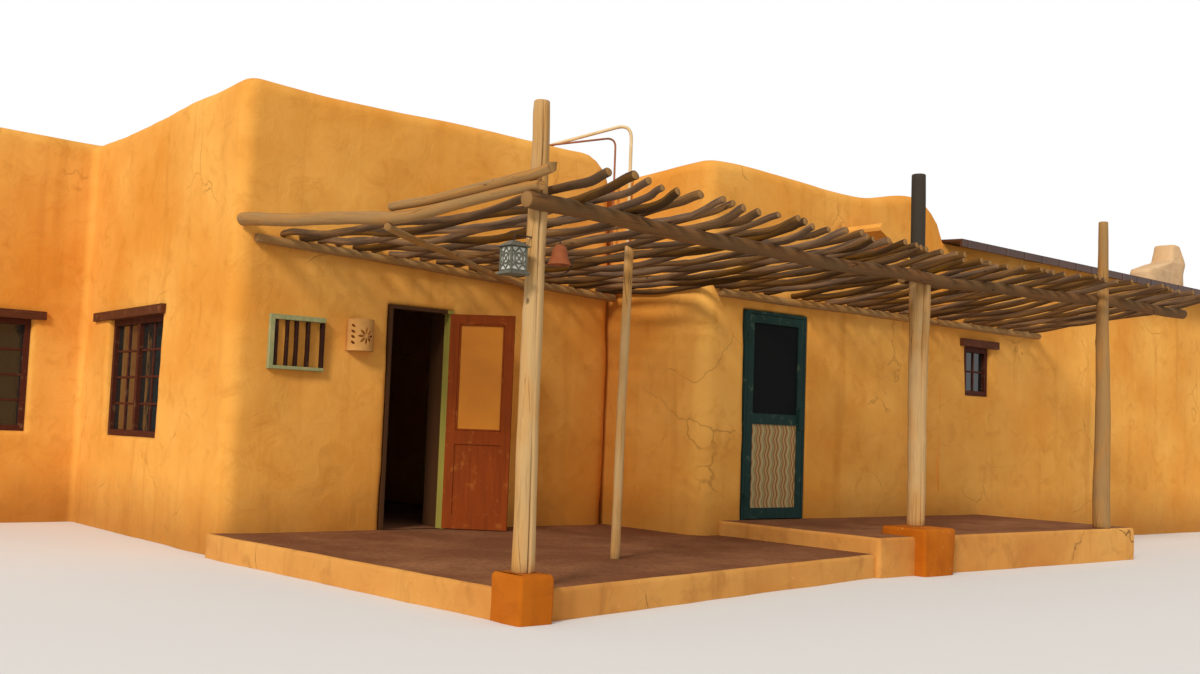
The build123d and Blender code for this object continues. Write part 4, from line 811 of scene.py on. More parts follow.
def peeled_log(name, base, pale, dark, warm, fibres=FIBRES, spread=0.15):
    """Weathered pine along its length, dull and dry: long fibres, golden patches where the grey is rubbed off, a
    few thin drying checks and knots. The UV map is in metres, round the log and along it; a spread gives each log
    a tone of its own."""
    made, tree, shader, _ = new_material(name, roughness=0.8, level=0.2)
    skin = add(tree, "TexCoord").outputs["UV"]
    drawn, wide, split, spots = (
        add(tree, "Mapping", {"Vector": skin, "Scale": scale}).outputs[0]
        for scale in ((fibres, FIBRES_ALONG, 1.0), RUBBED, CHECKS, KNOTS)
    )
    grain = add(tree, "TexNoise", {"Vector": drawn, "Scale": 1.0, "Detail": 6.0, "Roughness": 0.6})
    patches = add(tree, "TexNoise", {"Vector": wide, "Scale": 1.0, "Detail": 4.0, "Distortion": 0.4})
    cells = add(tree, "TexVoronoi", {"Vector": split, "Scale": 1.0}, feature="DISTANCE_TO_EDGE")
    rings = add(tree, "TexVoronoi", {"Vector": spots, "Scale": 1.0, "Randomness": 1.0})
    rubbed, deep, line, dry, knot = (
        add(tree, "MapRange", {
            "Value": node.outputs[0], "From Min": start, "From Max": end, "To Min": first, "To Max": last,
        }).outputs[0]
        for node, start, end, first, last in (
            (patches, 0.42, 0.66, 0.0, 1.0), (grain, 0.52, 0.75, 0.0, 0.5), (cells, 0.0, 0.018, 1.0, 0.0),
            (patches, 0.5, 0.56, 0.0, 0.8), (rings, 0.03, 0.07, 0.75, 0.0),
        )
    )
    check = add(tree, "Math", {0: line, 1: dry}, operation="MULTIPLY").outputs[0]
    marks = add(tree, "Math", {0: check, 1: knot}, operation="MAXIMUM").outputs[0]
    colour = linear(base)
    for share, code in ((grain.outputs[0], pale), (rubbed, warm), (deep, dark)):
        colour = add(tree, "Mix", {0: share, 6: colour, 7: linear(code)}, data_type="RGBA").outputs[2]
    round_it = add(tree, "SeparateXYZ", {0: skin}).outputs[0]
    piece = add(tree, "Math", {0: round_it, 1: 1 / LOG_SHIFT}, operation="MULTIPLY").outputs[0]
    number = add(tree, "Math", {0: piece}, operation="FLOOR").outputs[0]
    chance = add(tree, "TexWhiteNoise", {"W": number}, noise_dimensions="1D").outputs["Value"]
    tone = add(tree, "MapRange", {"Value": chance, "To Min": 1 - spread, "To Max": 1 + spread}).outputs[0]
    strength = add(tree, "MapRange", {"Value": chance, "To Min": 1.1, "To Max": 1 - 0.5 * spread}).outputs[0]
    colour = add(tree, "HueSaturation", {"Saturation": strength, "Value": tone, "Color": colour}).outputs[0]
    colour = add(tree, "Mix", {0: marks, 6: colour, 7: linear(dark)}, data_type="RGBA").outputs[2]
    tree.links.new(colour, shader.inputs["Base Color"])
    fibrous = add(tree, "Bump", {"Height": grain.outputs[0], "Strength": 0.6, "Distance": 0.004})
    opened = add(tree, "Bump", {
        "Height": marks, "Strength": 0.6, "Distance": 0.005, "Normal": fibrous.outputs[0],
    }, invert=True)
    tree.links.new(opened.outputs[0], shader.inputs["Normal"])
    return made


def end_grain(name, base, dark):
    """A sawn end, quite dull: growth rings about the log's heart."""
    made, tree, shader, _ = new_material(name, roughness=0.85, level=0.2)
    skin = add(tree, "TexCoord").outputs["UV"]
    rings = add(tree, "TexWave", {
        "Vector": skin, "Scale": GROWTH_RINGS, "Distortion": 1.5,
    }, wave_type="RINGS", rings_direction="Z")
    colour = add(tree, "Mix", {0: rings.outputs[0], 6: linear(base), 7: linear(dark)}, data_type="RGBA").outputs[2]
    tree.links.new(colour, shader.inputs["Base Color"])
    return made


# Three woods: most logs have gone grey-brown, the posts under the sun are
# bleached pale, and the pole over the middle post is charred nearly black.
weathered = peeled_log("weathered_pine_log", "#846238", "#AE8652", "#33231A", "#AC783A")
bleached = peeled_log("bleached_pine_log", "#AA8352", "#CFAA74", "#50381F", "#BC8746")
charred = peeled_log("charred_grey_log", "#2E2822", "#453C30", "#15110D", "#3A2D20")
sawn_end = end_grain("sawn_pine_end", "#A97F48", "#6E4A28")


def smooth_line(stations, step):
    """A line through the stations as Catmull-Rom curves, which also carry what else is given with each station."""
    stations = np.array(stations, float)
    lengths = np.linalg.norm(np.diff(stations[:, :3], axis=0), axis=1)
    padded = np.concatenate([[2 * stations[0] - stations[1]], stations, [2 * stations[-1] - stations[-2]]])
    pieces = []
    for i, length in enumerate(lengths):
        t = np.linspace(0, 1, max(int(length / step), 2), endpoint=False)[:, None]
        a, b, c, d = padded[i:i + 4]
        curve = 2 * b + (c - a) * t + (2 * a - 5 * b + 4 * c - d) * t ** 2 + (3 * b - a - 3 * c + d) * t ** 3
        pieces.append(0.5 * curve)
    return np.concatenate([*pieces, stations[-1:]])


def log_surface(stations, seed, sides=LOG_SIDES, step=LOG_STEP, wander=0.006, rough=0.05, split=None, number=0):
    """A peeled log. Each station is x, y, z and radius. The line sways by slow sines, and the section is a circle
    whose radius swells at knots and ripples round the log; a split is an angle where a long crack is cut in.
    Its number shifts the UV map round by LOG_SHIFT, so that the wood gives it a tone of its own.
    Returns points, faces and the UV of each face corner, in metres round and along."""
    line = smooth_line(stations, step)
    centre, radius = line[:, :3], line[:, 3]
    s = np.concatenate([[0], np.cumsum(np.linalg.norm(np.diff(centre, axis=0), axis=1))])
    along = np.gradient(centre, axis=0)
    along /= np.linalg.norm(along, axis=1)[:, None]
    lead = np.array([0.0, 0.0, 1.0]) if abs(along[:, 2]).mean() < 0.7 else np.array([0.0, 1.0, 0.0])
    across = np.cross(lead, along)
    across /= np.linalg.norm(across, axis=1)[:, None]
    up = np.cross(along, across)
    hold = np.minimum(1, np.minimum(s, s[-1] - s) / HELD_ENDS)
    centre = centre + (wander * hold * np.sin(s * 2.3 + seed))[:, None] * across
    centre = centre + (wander * hold * np.sin(s * 3.1 + 2 * seed))[:, None] * up
    angle = np.linspace(0, 2 * math.pi, sides, endpoint=False)
    if split is not None:
        angle = np.unique(np.concatenate([angle, split + SPLIT_WIDTH * np.array([-1.0, -0.4, 0.0, 0.4, 1.0])]))
        sides = len(angle)
    turned = angle[None] + (0.12 * np.sin(1.3 * s + seed))[:, None]
    ripple = (
        np.sin(2 * turned + seed + 0.7 * s[:, None]) + 0.7 * np.sin(3 * turned - 2 * seed + 1.9 * s[:, None])
        + 0.6 * np.sin(s[:, None] * 9.0 + seed)
    )
    knots = np.zeros((len(s), sides))
    knot_count = max(int(s[-1] / KNOT_EVERY), 1)
    for k in range(knot_count):
        where = (k + 0.5 + 0.3 * math.sin(seed + 5.1 * k)) * s[-1] / knot_count
        facing_it = np.clip(np.cos(turned - (2.7 * k + seed)), 0, 1)
        knots += np.exp(-((s[:, None] - where) / KNOT_LENGTH) ** 2) * facing_it ** 3
    size = radius[:, None] * (1 + rough * (0.45 * ripple + 1.6 * knots))
    if split is not None:
        open_here = 0.55 + 0.45 * np.sin(2.9 * s + seed)
        size *= 1 - SPLIT_DEPTH * open_here[:, None] * np.exp(-((angle[None] - split) / (0.5 * SPLIT_WIDTH)) ** 2)
    ring = np.cos(turned)[:, :, None] * across[:, None] + np.sin(turned)[:, :, None] * up[:, None]
    points = centre[:, None] + size[:, :, None] * ring
    first = centre[0] + 0.9 * (points[0] - centre[0])
    last = centre[-1] + 0.9 * (points[-1] - centre[-1])
    points[0] += 0.1 * radius[0] * along[0]
    points[-1] -= 0.1 * radius[-1] * along[-1]
    grid = np.concatenate([first[None], points, last[None]])
    v = np.concatenate([[0.0], s, [s[-1]]])
    rows = len(grid)
    index = np.arange(rows * sides).reshape(rows, sides)
    right = np.roll(index, -1, axis=1)
    quads = np.stack([index[:-1], index[1:], right[1:], right[:-1]], axis=2).reshape(-1, 4)
    round_it = np.append(angle, angle[0] + 2 * math.pi) * radius.mean() + LOG_SHIFT * number
    u0, v0 = np.meshgrid(round_it[:-1], v[:-1] + seed * 3.3)
    u1, v1 = np.meshgrid(round_it[1:], v[1:] + seed * 3.3)
    quad_uv = np.stack([u0, v0, u0, v1, u1, v1, u1, v0], axis=2).reshape(-1, 2)
    cap_uv = np.stack([np.cos(angle), np.sin(angle)], axis=1)
    faces = quads.tolist() + [index[0].tolist(), index[-1, ::-1].tolist()]
    uv = np.concatenate([quad_uv, cap_uv * radius[0], cap_uv[::-1] * radius[-1]])
    return grid.reshape(-1, 3), faces, uv


def logs_object(name, surfaces, materials, slot, *nodes):
    """Joins logs into one piece that stands for CAD nodes. The two ends of each log take the second material."""
    points, faces, uvs, ends, offset = [], [], [], [], 0
    for grid, log_faces, uv in surfaces:
        points.append(grid)
        ends += [len(faces) + len(log_faces) - 2, len(faces) + len(log_faces) - 1]
        faces += [[i + offset for i in face] for face in log_faces]
        uvs.append(uv)
        offset += len(grid)
    made = new_object(name, np.concatenate(points), faces, materials, sharp=50, slot=slot)
    layer = made.data.uv_layers.new(name="skin")
    layer.data.foreach_set("uv", np.concatenate(uvs).astype(np.float32).ravel())
    for end in ends:
        made.data.polygons[end].material_index = 1
    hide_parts(*nodes)
    return made


def centres(points, axis, gap=0.02):
    """The middle and the radius of each ring of points that stands apart from the next along an axis."""
    points = points[points[:, axis].argsort()]
    cuts = np.flatnonzero(np.diff(points[:, axis]) > gap) + 1
    rings = [ring for ring in np.split(points, cuts) if len(ring) > 3]
    return [(*ring.mean(axis=0), np.linalg.norm(ring - ring.mean(axis=0), axis=1).max()) for ring in rings]


def standing(x, y, rings):
    """The stations of a post: each ring is its height, its radius and how far the post leans aside there."""
    return [(x + aside, y, height, radius) for height, radius, aside in rings]


left_low, left_high, left_x, left_y = box_and_middle("left_post")
right_post_low, right_post_high, right_x, right_y = box_and_middle("right_post")
inner_low, inner_high, inner_x, inner_y = box_and_middle("inner_post")
SADDLE_Z = 2.68
POLE_FOOT = 2.4
POLE_BACK = 0.032
INNER_RADIUS = 0.038
left_rings = (
    (left_low.z, 0.072, 0.0), (1.1, 0.066, -0.008), (1.9, 0.062, 0.006), (2.6, 0.058, 0.0),
    (left_high.z, 0.049, 0.0),
)
middle_rings = ((middle_low.z, 0.079, 0.0), (1.4, 0.083, 0.0), (2.1, 0.09, 0.0), (SADDLE_Z, 0.098, 0.0))
pole_rings = ((POLE_FOOT, 0.066, 0.0), (3.0, 0.068, 0.0), (middle_high.z, 0.066, 0.0))
right_rings = (
    (right_post_low.z, 0.09, 0.0), (1.5, 0.078, 0.01), (2.5, 0.066, 0.0), (right_post_high.z, 0.05, 0.0),
)
inner_stations = [
    (inner_low.x + INNER_RADIUS, inner_y, inner_low.z, INNER_RADIUS), (inner_x - 0.01, inner_y, 1.2, 0.037),
    (inner_high.x - INNER_RADIUS, inner_y, inner_high.z, 0.036),
]
logs_object("left_post_log", [
    log_surface(standing(left_x, left_y, left_rings), 1.3, wander=0.004, rough=0.07, split=4.5),
], [bleached, sawn_end], "pale_log", "left_post")
logs_object("middle_post_logs", [
    log_surface(standing(middle_x, middle_y, middle_rings), 2.1, wander=0.004, rough=0.06, split=4.4),
], [bleached, sawn_end], "weathered_log", "middle_post")
logs_object("middle_pole_log", [
    log_surface(standing(middle_x, middle_y + POLE_BACK, pole_rings), 4.4, wander=0.002, rough=0.04),
], [charred, sawn_end], "weathered_log", "middle_post")
logs_object("right_post_log", [
    log_surface(standing(right_x, right_y, right_rings), 3.7, wander=0.005, split=5.0),
], [weathered, sawn_end], "weathered_log", "right_post")
logs_object("inner_post_log", [
    log_surface(inner_stations, 5.2, wander=0.006),
], [bleached, sawn_end], "weathered_log", "inner_post")


def stations_of(node, axis):
    """The ring middles of each solid of a node, in the order of the solids' places from left to right."""
    solids = sorted(islands(node), key=lambda points: points.mean(axis=0).tolist())
    return [centres(points, axis) for points in solids]


# The beams stay dry under the roof and have kept a darker brown.
beam_wood = peeled_log("brown_beam_log", "#53391F", "#7C5A32", "#1C120B", "#7C5026")
logs_object("front_beam_logs", [
    log_surface(rings, 6.1 + 2 * i, wander=0.008) for i, rings in enumerate(stations_of("front_beams", 0))
], [beam_wood, sawn_end], "weathered_log", "front_beams")
logs_object("wall_ledger_logs", [
    log_surface(rings, 8.3 + 2 * i, wander=0.003) for i, rings in enumerate(stations_of("wall_ledgers", 0))
], [weathered, sawn_end], "weathered_log", "wall_ledgers")
logs_object("edge_log_pair", [
    log_surface(rings, 9.9 + 3 * i, wander=0.008, rough=0.06)
    for i, rings in enumerate(stations_of("edge_logs", 1))
], [weathered, sawn_end], "weathered_log", "edge_logs")
logs_object("brace_pole_log", [
    log_surface(rings, 4.9, sides=12, wander=0.01) for rings in stations_of("brace_pole", 0)
], [weathered, sawn_end], "weathered_log", "brace_pole")

# Latillas: thin peeled poles laid close over the beams, sagging between wall
# and beam, with their thin ends rising past it. No two bend alike, and each
# has a tone of its own, from nearly black to golden brown.
LATILLA_TAPER = 0.88
LATILLA_SIDES = 12
LATILLA_STEP = 0.06
LATILLA_SWAY = 0.024
LATILLA_KNOTS = 0.17
LATILLA_SPREAD = 0.42
BAY_NUMBERS = 40
latilla_wood = peeled_log(
    "latilla_pine_pole", "#3C2918", "#634526", "#120B06", "#80561F", fibres=THIN_POLE_FIBRES, spread=LATILLA_SPREAD
)
for bay, node in enumerate(("latillas_left", "latillas_middle", "latillas_right")):
    poles = []
    for i, rings in enumerate(stations_of(node, 1)):
        thick = np.linspace(LATILLA_TAPER, 1.0, len(rings))
        stations = [(x, y, z, r * share) for (x, y, z, r), share in zip(rings, thick)]
        poles.append(log_surface(
            stations, 1.37 * i + 11 * bay, sides=LATILLA_SIDES, step=LATILLA_STEP, wander=LATILLA_SWAY,
            rough=LATILLA_KNOTS, number=i + BAY_NUMBERS * bay,
        ))
    logs_object(node + "_poles", poles, [latilla_wood, sawn_end], "latilla_wood", node)

# Windows: pairs of wooden casements painted red-brown, with small panes held
# by thin bars, each pair under a rough plank lintel that runs into the wall.
BAR = 0.022
BAR_DEPTH = 0.03
PANES_ACROSS = 2
PANES_UP = 4
SMALL_PANES_UP = 2
SMALL_WINDOW = 0.7


def planks(boxes, edge):
    """Boards with chamfered edges: three points at each corner of each box, each inset along two of the axes."""
    signs = np.array([(x, y, z) for x in (-1, 1) for y in (-1, 1) for z in (-1, 1)], float)
    points, faces = [], []
    number = {tuple(s): k for k, s in enumerate(signs)}
    quads = []
    for axis in range(3):
        other = [a for a in range(3) if a != axis]
        for side in (-1, 1):
            loop = []
            for a, b in ((-1, -1), (1, -1), (1, 1), (-1, 1)):
                sign = [0, 0, 0]
                sign[axis], sign[other[0]], sign[other[1]] = side, a, b
                loop.append(number[tuple(sign)] * 3 + axis)
            outward = side * (1 if axis != 1 else -1)
            quads.append(loop if outward > 0 else loop[::-1])
    for axis in range(3):
        other = [a for a in range(3) if a != axis]
        for a in (-1, 1):
            for b in (-1, 1):
                low, high = [0, 0, 0], [0, 0, 0]
                low[axis], high[axis] = -1, 1
                low[other[0]] = high[other[0]] = a
                low[other[1]] = high[other[1]] = b
                k0, k1 = number[tuple(low)] * 3, number[tuple(high)] * 3
                loop = [k0 + other[0], k0 + other[1], k1 + other[1], k1 + other[0]]
                quads.append(loop if a * b * (1 if axis != 1 else -1) > 0 else loop[::-1])
    for k, s in enumerate(signs):
        loop = [3 * k, 3 * k + 1, 3 * k + 2]
        quads.append(loop if s.prod() > 0 else loop[::-1])
    for low, high in boxes:
        low, high = np.array(low, float), np.array(high, float)
        half = (high - low) / 2
        cut = np.minimum(edge, 0.45 * half.min())
        corners = []
        for s in signs:
            for axis in range(3):
                inset = np.where(np.arange(3) == axis, 0, cut)
                corners.append((low + high) / 2 + s * (half - inset))
        faces += [[i + 24 * len(points) for i in loop] for loop in quads]
        points.append(np.array(corners))
    return np.concatenate(points), faces


def painted_wood(name, base, wear_and_shade, dark, axis_scale, wear=0.35):
    """Oil paint or varnish on pine, dulled by weather: streaks along the fibres, so many to the metre on each
    axis, and worn wood where the coat has gone."""
    made, tree, shader, place = new_material(name, roughness=0.65, level=0.12)
    fibres = add(tree, "Mapping", {"Vector": place, "Scale": axis_scale})
    grain = add(tree, "TexNoise", {"Vector": fibres.outputs[0], "Scale": 1.0, "Detail": 5.0})
    patches = add(tree, "TexNoise", {"Vector": place, "Scale": 9.0, "Detail": 5.0, "Roughness": 0.7})
    colour = add(tree, "Mix", {0: grain.outputs[0], 6: linear(base), 7: linear(dark)}, data_type="RGBA").outputs[2]
    gone = add(tree, "MapRange", {"Value": patches.outputs[0], "From Min": 0.58, "From Max": 0.66, "To Max": wear})
    colour = add(tree, "Mix", {0: gone.outputs[0], 6: colour, 7: linear(wear_and_shade)}, data_type="RGBA").outputs[2]
    tree.links.new(colour, shader.inputs["Base Color"])
    brushed = add(tree, "Bump", {"Height": grain.outputs[0], "Strength": 0.4, "Distance": 0.002})
    tree.links.new(brushed.outputs[0], shader.inputs["Normal"])
    return made


# Red-brown paint gone chalky on the casements; lintels of rough-sawn plank,
# stained darker along the saw marks.
window_paint = painted_wood("red_brown_window_paint", "#5A2A1A", "#8C6A4A", "#3A180E", (14.0, 14.0, 60.0))
lintel_wood = painted_wood("rough_sawn_lintel", "#6B3A20", "#8A5A38", "#3E1F10", (6.0, 6.0, 90.0), wear=0.6)
dress(window_paint, "front_windows", "rear_windows")
dress(lintel_wood, "window_lintels")

# Drawn glass over dark rooms: smooth and a little wavy, so reflections bend.
window_glass, tree, shader, place = new_material("old_window_glass", roughness=0.06, level=0.6)
shader.inputs["Base Color"].default_value = linear("#1E2220")
ripple = add(tree, "TexNoise", {"Vector": place, "Scale": 7.0, "Detail": 2.0})
wavy = add(tree, "Bump", {"Height": ripple.outputs[0], "Strength": 0.12, "Distance": 0.01})
tree.links.new(wavy.outputs[0], shader.inputs["Normal"])
dress(window_glass, "window_glass")


def pane_bars(low, high, across_count, up_count):
    """The bars in front of one sheet of glass, as boxes: uprights and rails at even spacing on its outer side."""
    low, high = np.array(low, float), np.array(high, float)
    thin = 0 if high[0] - low[0] < high[1] - low[1] else 1
    boxes = []
    for axis, count, depth in ((1 - thin, across_count, BAR_DEPTH / 2), (2, up_count, 0.4 * BAR_DEPTH)):
        for i in range(1, count):
            at = low[axis] + (high[axis] - low[axis]) * i / count
            a, b = low.copy(), high.copy()
            a[axis], b[axis] = at - BAR / 2, at + BAR / 2
            a[thin] -= depth
            b[thin] += depth
            boxes.append((a, b))
    return boxes


bars = []
for sheet_points in islands("window_glass"):
    low, high = box_of(sheet_points)
    small = high[2] - low[2] < SMALL_WINDOW
    bars += pane_bars(low, high, PANES_ACROSS, SMALL_PANES_UP if small else PANES_UP)
new_object("window_bars", *planks(bars, edge=0.004), [window_paint], slot="window_paint", sharp=30)

# Doors: the main door is an old varnished leaf with a tall light of glass,
# hung on a jamb whose hinge side is painted yellow-green. The screen door is
# a dark green frame with insect mesh over a board painted in stripes.
#
# The varnish glows orange and has rubbed through to paler wood in patches.
# Both paints are scuffed; the glass's uneven amber is a painted reflection
# of the sunlit orange plaster.
JAMB_WIDTH = 0.07
door_varnish = painted_wood("red_brown_door_varnish", "#9A4206", "#B8702C", "#6A2A04", (30.0, 30.0, 2.0), wear=0.3)
jamb_paint = painted_wood("yellow_green_jamb_paint", "#B3A44C", "#8A7C44", "#8C7F36", (40.0, 40.0, 2.0), wear=0.3)
screen_paint = painted_wood(
    "dark_green_screen_paint", "#24403A", "#66705A", "#12241F", (40.0, 40.0, 2.0), wear=0.4
)
# Away from the hinge side the frame is painted dark brown: painted shade for the doorway's head and far jamb.
tree = jamb_paint.node_tree
shader = tree.nodes["Principled BSDF"]
painted = shader.inputs["Base Color"].links[0].from_socket
side = add(tree, "SeparateXYZ", {0: add(tree, "TexCoord").outputs["Object"]}).outputs[0]
hinge_side = add(tree, "Math", {0: side, 1: MAIN_DOOR_X[1] - JAMB_WIDTH}, operation="GREATER_THAN").outputs[0]
colour = add(tree, "Mix", {0: hinge_side, 6: linear("#4A2E18"), 7: painted}, data_type="RGBA").outputs[2]
tree.links.new(colour, shader.inputs["Base Color"])
dress(door_varnish, "main_door")
dress(jamb_paint, "main_door_frame")
dress(screen_paint, "screen_door", "entry_door_frame")
# The amber of the door glass is a painted reflection of the sunlit orange plaster.
door_glass = mottled("amber_door_glass", 0.25, 0.2, 1.6, 3.0, "#B4640C", "#DE8E22", distortion=0.8)[0]
dress(door_glass, "main_door_glass")

light_points = islands("main_door_glass")[0]
light_low, light_high = box_of(light_points)
near_edge = light_points[light_points[:, 0] < light_low[0] + 0.01].mean(axis=0)
far_edge = light_points[light_points[:, 0] > light_high[0] - 0.01].mean(axis=0)
light_half = np.linalg.norm((far_edge - near_edge)[:2]) / 2
light_along = (far_edge - near_edge)[:2] / (2 * light_half)
BEAD = 0.018
BEAD_OUT = 0.017
bead_boxes = [
    ((-light_half, -BEAD_OUT, light_low[2]), (BEAD - light_half, BEAD_OUT, light_high[2])),
    ((light_half - BEAD, -BEAD_OUT, light_low[2]), (light_half, BEAD_OUT, light_high[2])),
    ((BEAD - light_half, -BEAD_OUT, light_low[2]), (light_half - BEAD, BEAD_OUT, light_low[2] + BEAD)),
    ((BEAD - light_half, -BEAD_OUT, light_high[2] - BEAD), (light_half - BEAD, BEAD_OUT, light_high[2])),
]
points, faces = planks(bead_boxes, edge=0.005)
middle = (near_edge + far_edge)[:2] / 2
along_leaf = middle + points[:, :1] * light_along + points[:, 1:2] * np.array([-light_along[1], light_along[0]])
points = np.concatenate([along_leaf, points[:, 2:]], axis=1)
new_object("door_light_beads", points, faces, [door_varnish], body="main_leaf", slot="red_door_wood", sharp=30)

# Woven black wire, drawn 8 mm apart where the real mesh has 1.5 mm, so that it
# shows. A wave texture repeats 3.18 times in each unit.
WIRE_WEAVE = 260.0 / 6.28
mesh_wire, tree, shader, place = new_material("woven_insect_wire", roughness=0.8, level=0.12)
shader.inputs["Base Color"].default_value = linear("#0B100F")
across = add(tree, "TexWave", {"Vector": place, "Scale": WIRE_WEAVE}, bands_direction="X")
up = add(tree, "TexWave", {"Vector": place, "Scale": WIRE_WEAVE}, bands_direction="Z")
woven = add(tree, "Math", {0: across.outputs[0], 1: up.outputs[0]}, operation="MAXIMUM").outputs[0]
raised = add(tree, "Bump", {"Height": woven, "Strength": 0.5, "Distance": 0.001})
tree.links.new(raised.outputs[0], shader.inputs["Normal"])
dress(mesh_wire, "screen_door_mesh")

# House paint by hand on a flat board, half dull: wavy upright stripes in
# cream, tan, brown and green, in a repeat of 130 mm.
STRIPE_WAVE = 0.16
STRIPE_SWAY = 0.012
STRIPE_REPEAT = 0.13
STRIPES = (
    (0.0, "#B59A66"), (0.14, "#A8854E"), (0.22, "#64422A"), (0.3, "#A87C46"), (0.5, "#BCA271"), (0.66, "#7C8258"),
    (0.78, "#B08A50"), (0.9, "#8A4A2A"),
)
striped, tree, shader, place = new_material("striped_painted_board", roughness=0.7, level=0.25)
parted = add(tree, "SeparateXYZ", {0: place})
wave = add(tree, "Math", {0: parted.outputs[2], 1: 2 * math.pi / STRIPE_WAVE}, operation="MULTIPLY").outputs[0]
sway = add(tree, "Math", {0: wave}, operation="SINE").outputs[0]
bent = add(tree, "Math", {0: sway, 1: STRIPE_SWAY, 2: parted.outputs[0]}, operation="MULTIPLY_ADD").outputs[0]
spread = add(tree, "Math", {0: bent, 1: 1 / STRIPE_REPEAT}, operation="MULTIPLY").outputs[0]
share = add(tree, "Math", {0: spread}, operation="FRACT").outputs[0]
stripes = add(tree, "ValToRGB", {0: share})
ramp = stripes.color_ramp
ramp.elements[0].color = linear(STRIPES[0][1])
ramp.elements[1].position, ramp.elements[1].color = 1.0, linear(STRIPES[0][1])
for at, code in STRIPES[1:]:
    ramp.elements.new(at).color = linear(code)
tree.links.new(stripes.outputs[0], shader.inputs["Base Color"])
dress(striped, "screen_door_panel")

# On the wall beside the door: a half-round clay shade with an eight-petalled
# flower and leaves cut through it, and an old sash with dark uprights, hung as
# a rack.
#
# Unglazed clay is matt and sandy; its grains are drawn 4 mm wide, so they show.
CLAY_GRAINS = 260.0
clay, tree, shader, place = mottled("unglazed_fired_clay", 0.85, 0.2, 14.0, 5.0, "#DBA45A", "#C08444")
grains = add(tree, "TexNoise", {"Vector": place, "Scale": CLAY_GRAINS, "Detail": 2.0})
sandy = add(tree, "Bump", {"Height": grains.outputs[0], "Strength": 0.4, "Distance": 0.001})
tree.links.new(sandy.outputs[0], shader.inputs["Normal"])

INTO_WALL = 0.03
SHADE_WALL = 0.012
SHADE_FLOOR_SIZE = 0.97
SHADE_COLUMNS = 130
SHADE_ROWS = 96
FLOWER_HEIGHT = 0.46
PETALS = 8
PETAL_START = 0.014
PETAL_END = 0.082
PETAL_HALF_WIDTH = 0.0125
LEAF_PLACE = 0.17
LEAF_HEIGHTS = (0.25, 0.43, 0.6, 0.78)
LEAF_TILT = math.radians(-25)
LEAF_HALF_LENGTH = 0.027
LEAF_HALF_WIDTH = 0.0125


def pierced(name, points, kept, thickness, material, slot):
    """A sheet on a grid of points, rows upwards and columns to the right, made of the cells that are kept and
    thickened inwards."""
    rows, columns = points.shape[:2]
    index = np.arange(rows * columns).reshape(rows, columns)
    quads = np.stack([index[:-1, :-1], index[:-1, 1:], index[1:, 1:], index[1:, :-1]], axis=2)[kept]
    used, faces = np.unique(quads, return_inverse=True)
    made = new_object(name, points.reshape(-1, 3)[used], faces.reshape(-1, 4), [material], slot=slot)
    wall = made.modifiers.new("thickness", "SOLIDIFY")
    wall.thickness = thickness
    wall.offset = -1.0
    return made


def upright(line, heights):
    """A plan line repeated at each height, as a grid of points."""
    return np.concatenate([
        np.repeat(line[None], len(heights), 0), np.repeat(heights[:, None, None], len(line), 1),
    ], axis=2)


shade_low, shade_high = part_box("wall_sconce")
shade_radius = (shade_high.x - shade_low.x) / 2
shade_x = (shade_low.x + shade_high.x) / 2
share = np.linspace(0, 1, SHADE_COLUMNS + 1)
round_shade = np.stack([
    shade_x - shade_radius * np.cos(math.pi * share), shade_high.y - shade_radius * np.sin(math.pi * share),
], axis=1)
into = np.array([[0, INTO_WALL]])
round_shade = np.concatenate([round_shade[:1] + into, round_shade, round_shade[-1:] + into])
z = np.linspace(shade_low.z, shade_high.z, SHADE_ROWS + 1)
girth = math.pi * shade_radius
u = np.concatenate([[-1.0], (share[1:] + share[:-1]) / 2 * girth, [-1.0]])[None]
v = ((z[1:] + z[:-1]) / 2 - shade_low.z)[:, None]
cut_out = np.zeros((SHADE_ROWS, SHADE_COLUMNS + 2), bool)


def from_spot(across_share, height_share, turn):
    """Each cell's distance out and aside from a spot of the unrolled shade, seen along a direction."""
    du, dv = u - across_share * girth, v - height_share * (shade_high.z - shade_low.z)
    return du * math.cos(turn) + dv * math.sin(turn), dv * math.cos(turn) - du * math.sin(turn)


for k in range(PETALS):
    out, aside = from_spot(0.5, FLOWER_HEIGHT, 2 * math.pi * k / PETALS)
    swell = np.sin(math.pi * np.clip((out - PETAL_START) / (PETAL_END - PETAL_START), 0, 1))
    cut_out |= np.abs(aside) < PETAL_HALF_WIDTH * swell
for across_share in (LEAF_PLACE, 1 - LEAF_PLACE):
    for height_share in LEAF_HEIGHTS:
        out, aside = from_spot(across_share, height_share, LEAF_TILT)
        cut_out |= np.abs(aside) < LEAF_HALF_WIDTH * (1 - (out / LEAF_HALF_LENGTH) ** 2)
shade = pierced("clay_wall_shade", upright(round_shade, z), ~cut_out, SHADE_WALL, clay, "clay")
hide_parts("wall_sconce")
floor_points = upright(round_shade, shade_low.z + np.array([0.0, SHADE_WALL])).reshape(-1, 3)
floor_faces = ring_faces(2, len(round_shade))
middle = floor_points[:, :2].mean(axis=0)
floor_points[:, :2] = middle + SHADE_FLOOR_SIZE * (floor_points[:, :2] - middle)
shade_floor = new_object("clay_shade_floor", floor_points, floor_faces, [clay], slot="clay")
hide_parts("wall_sconce")

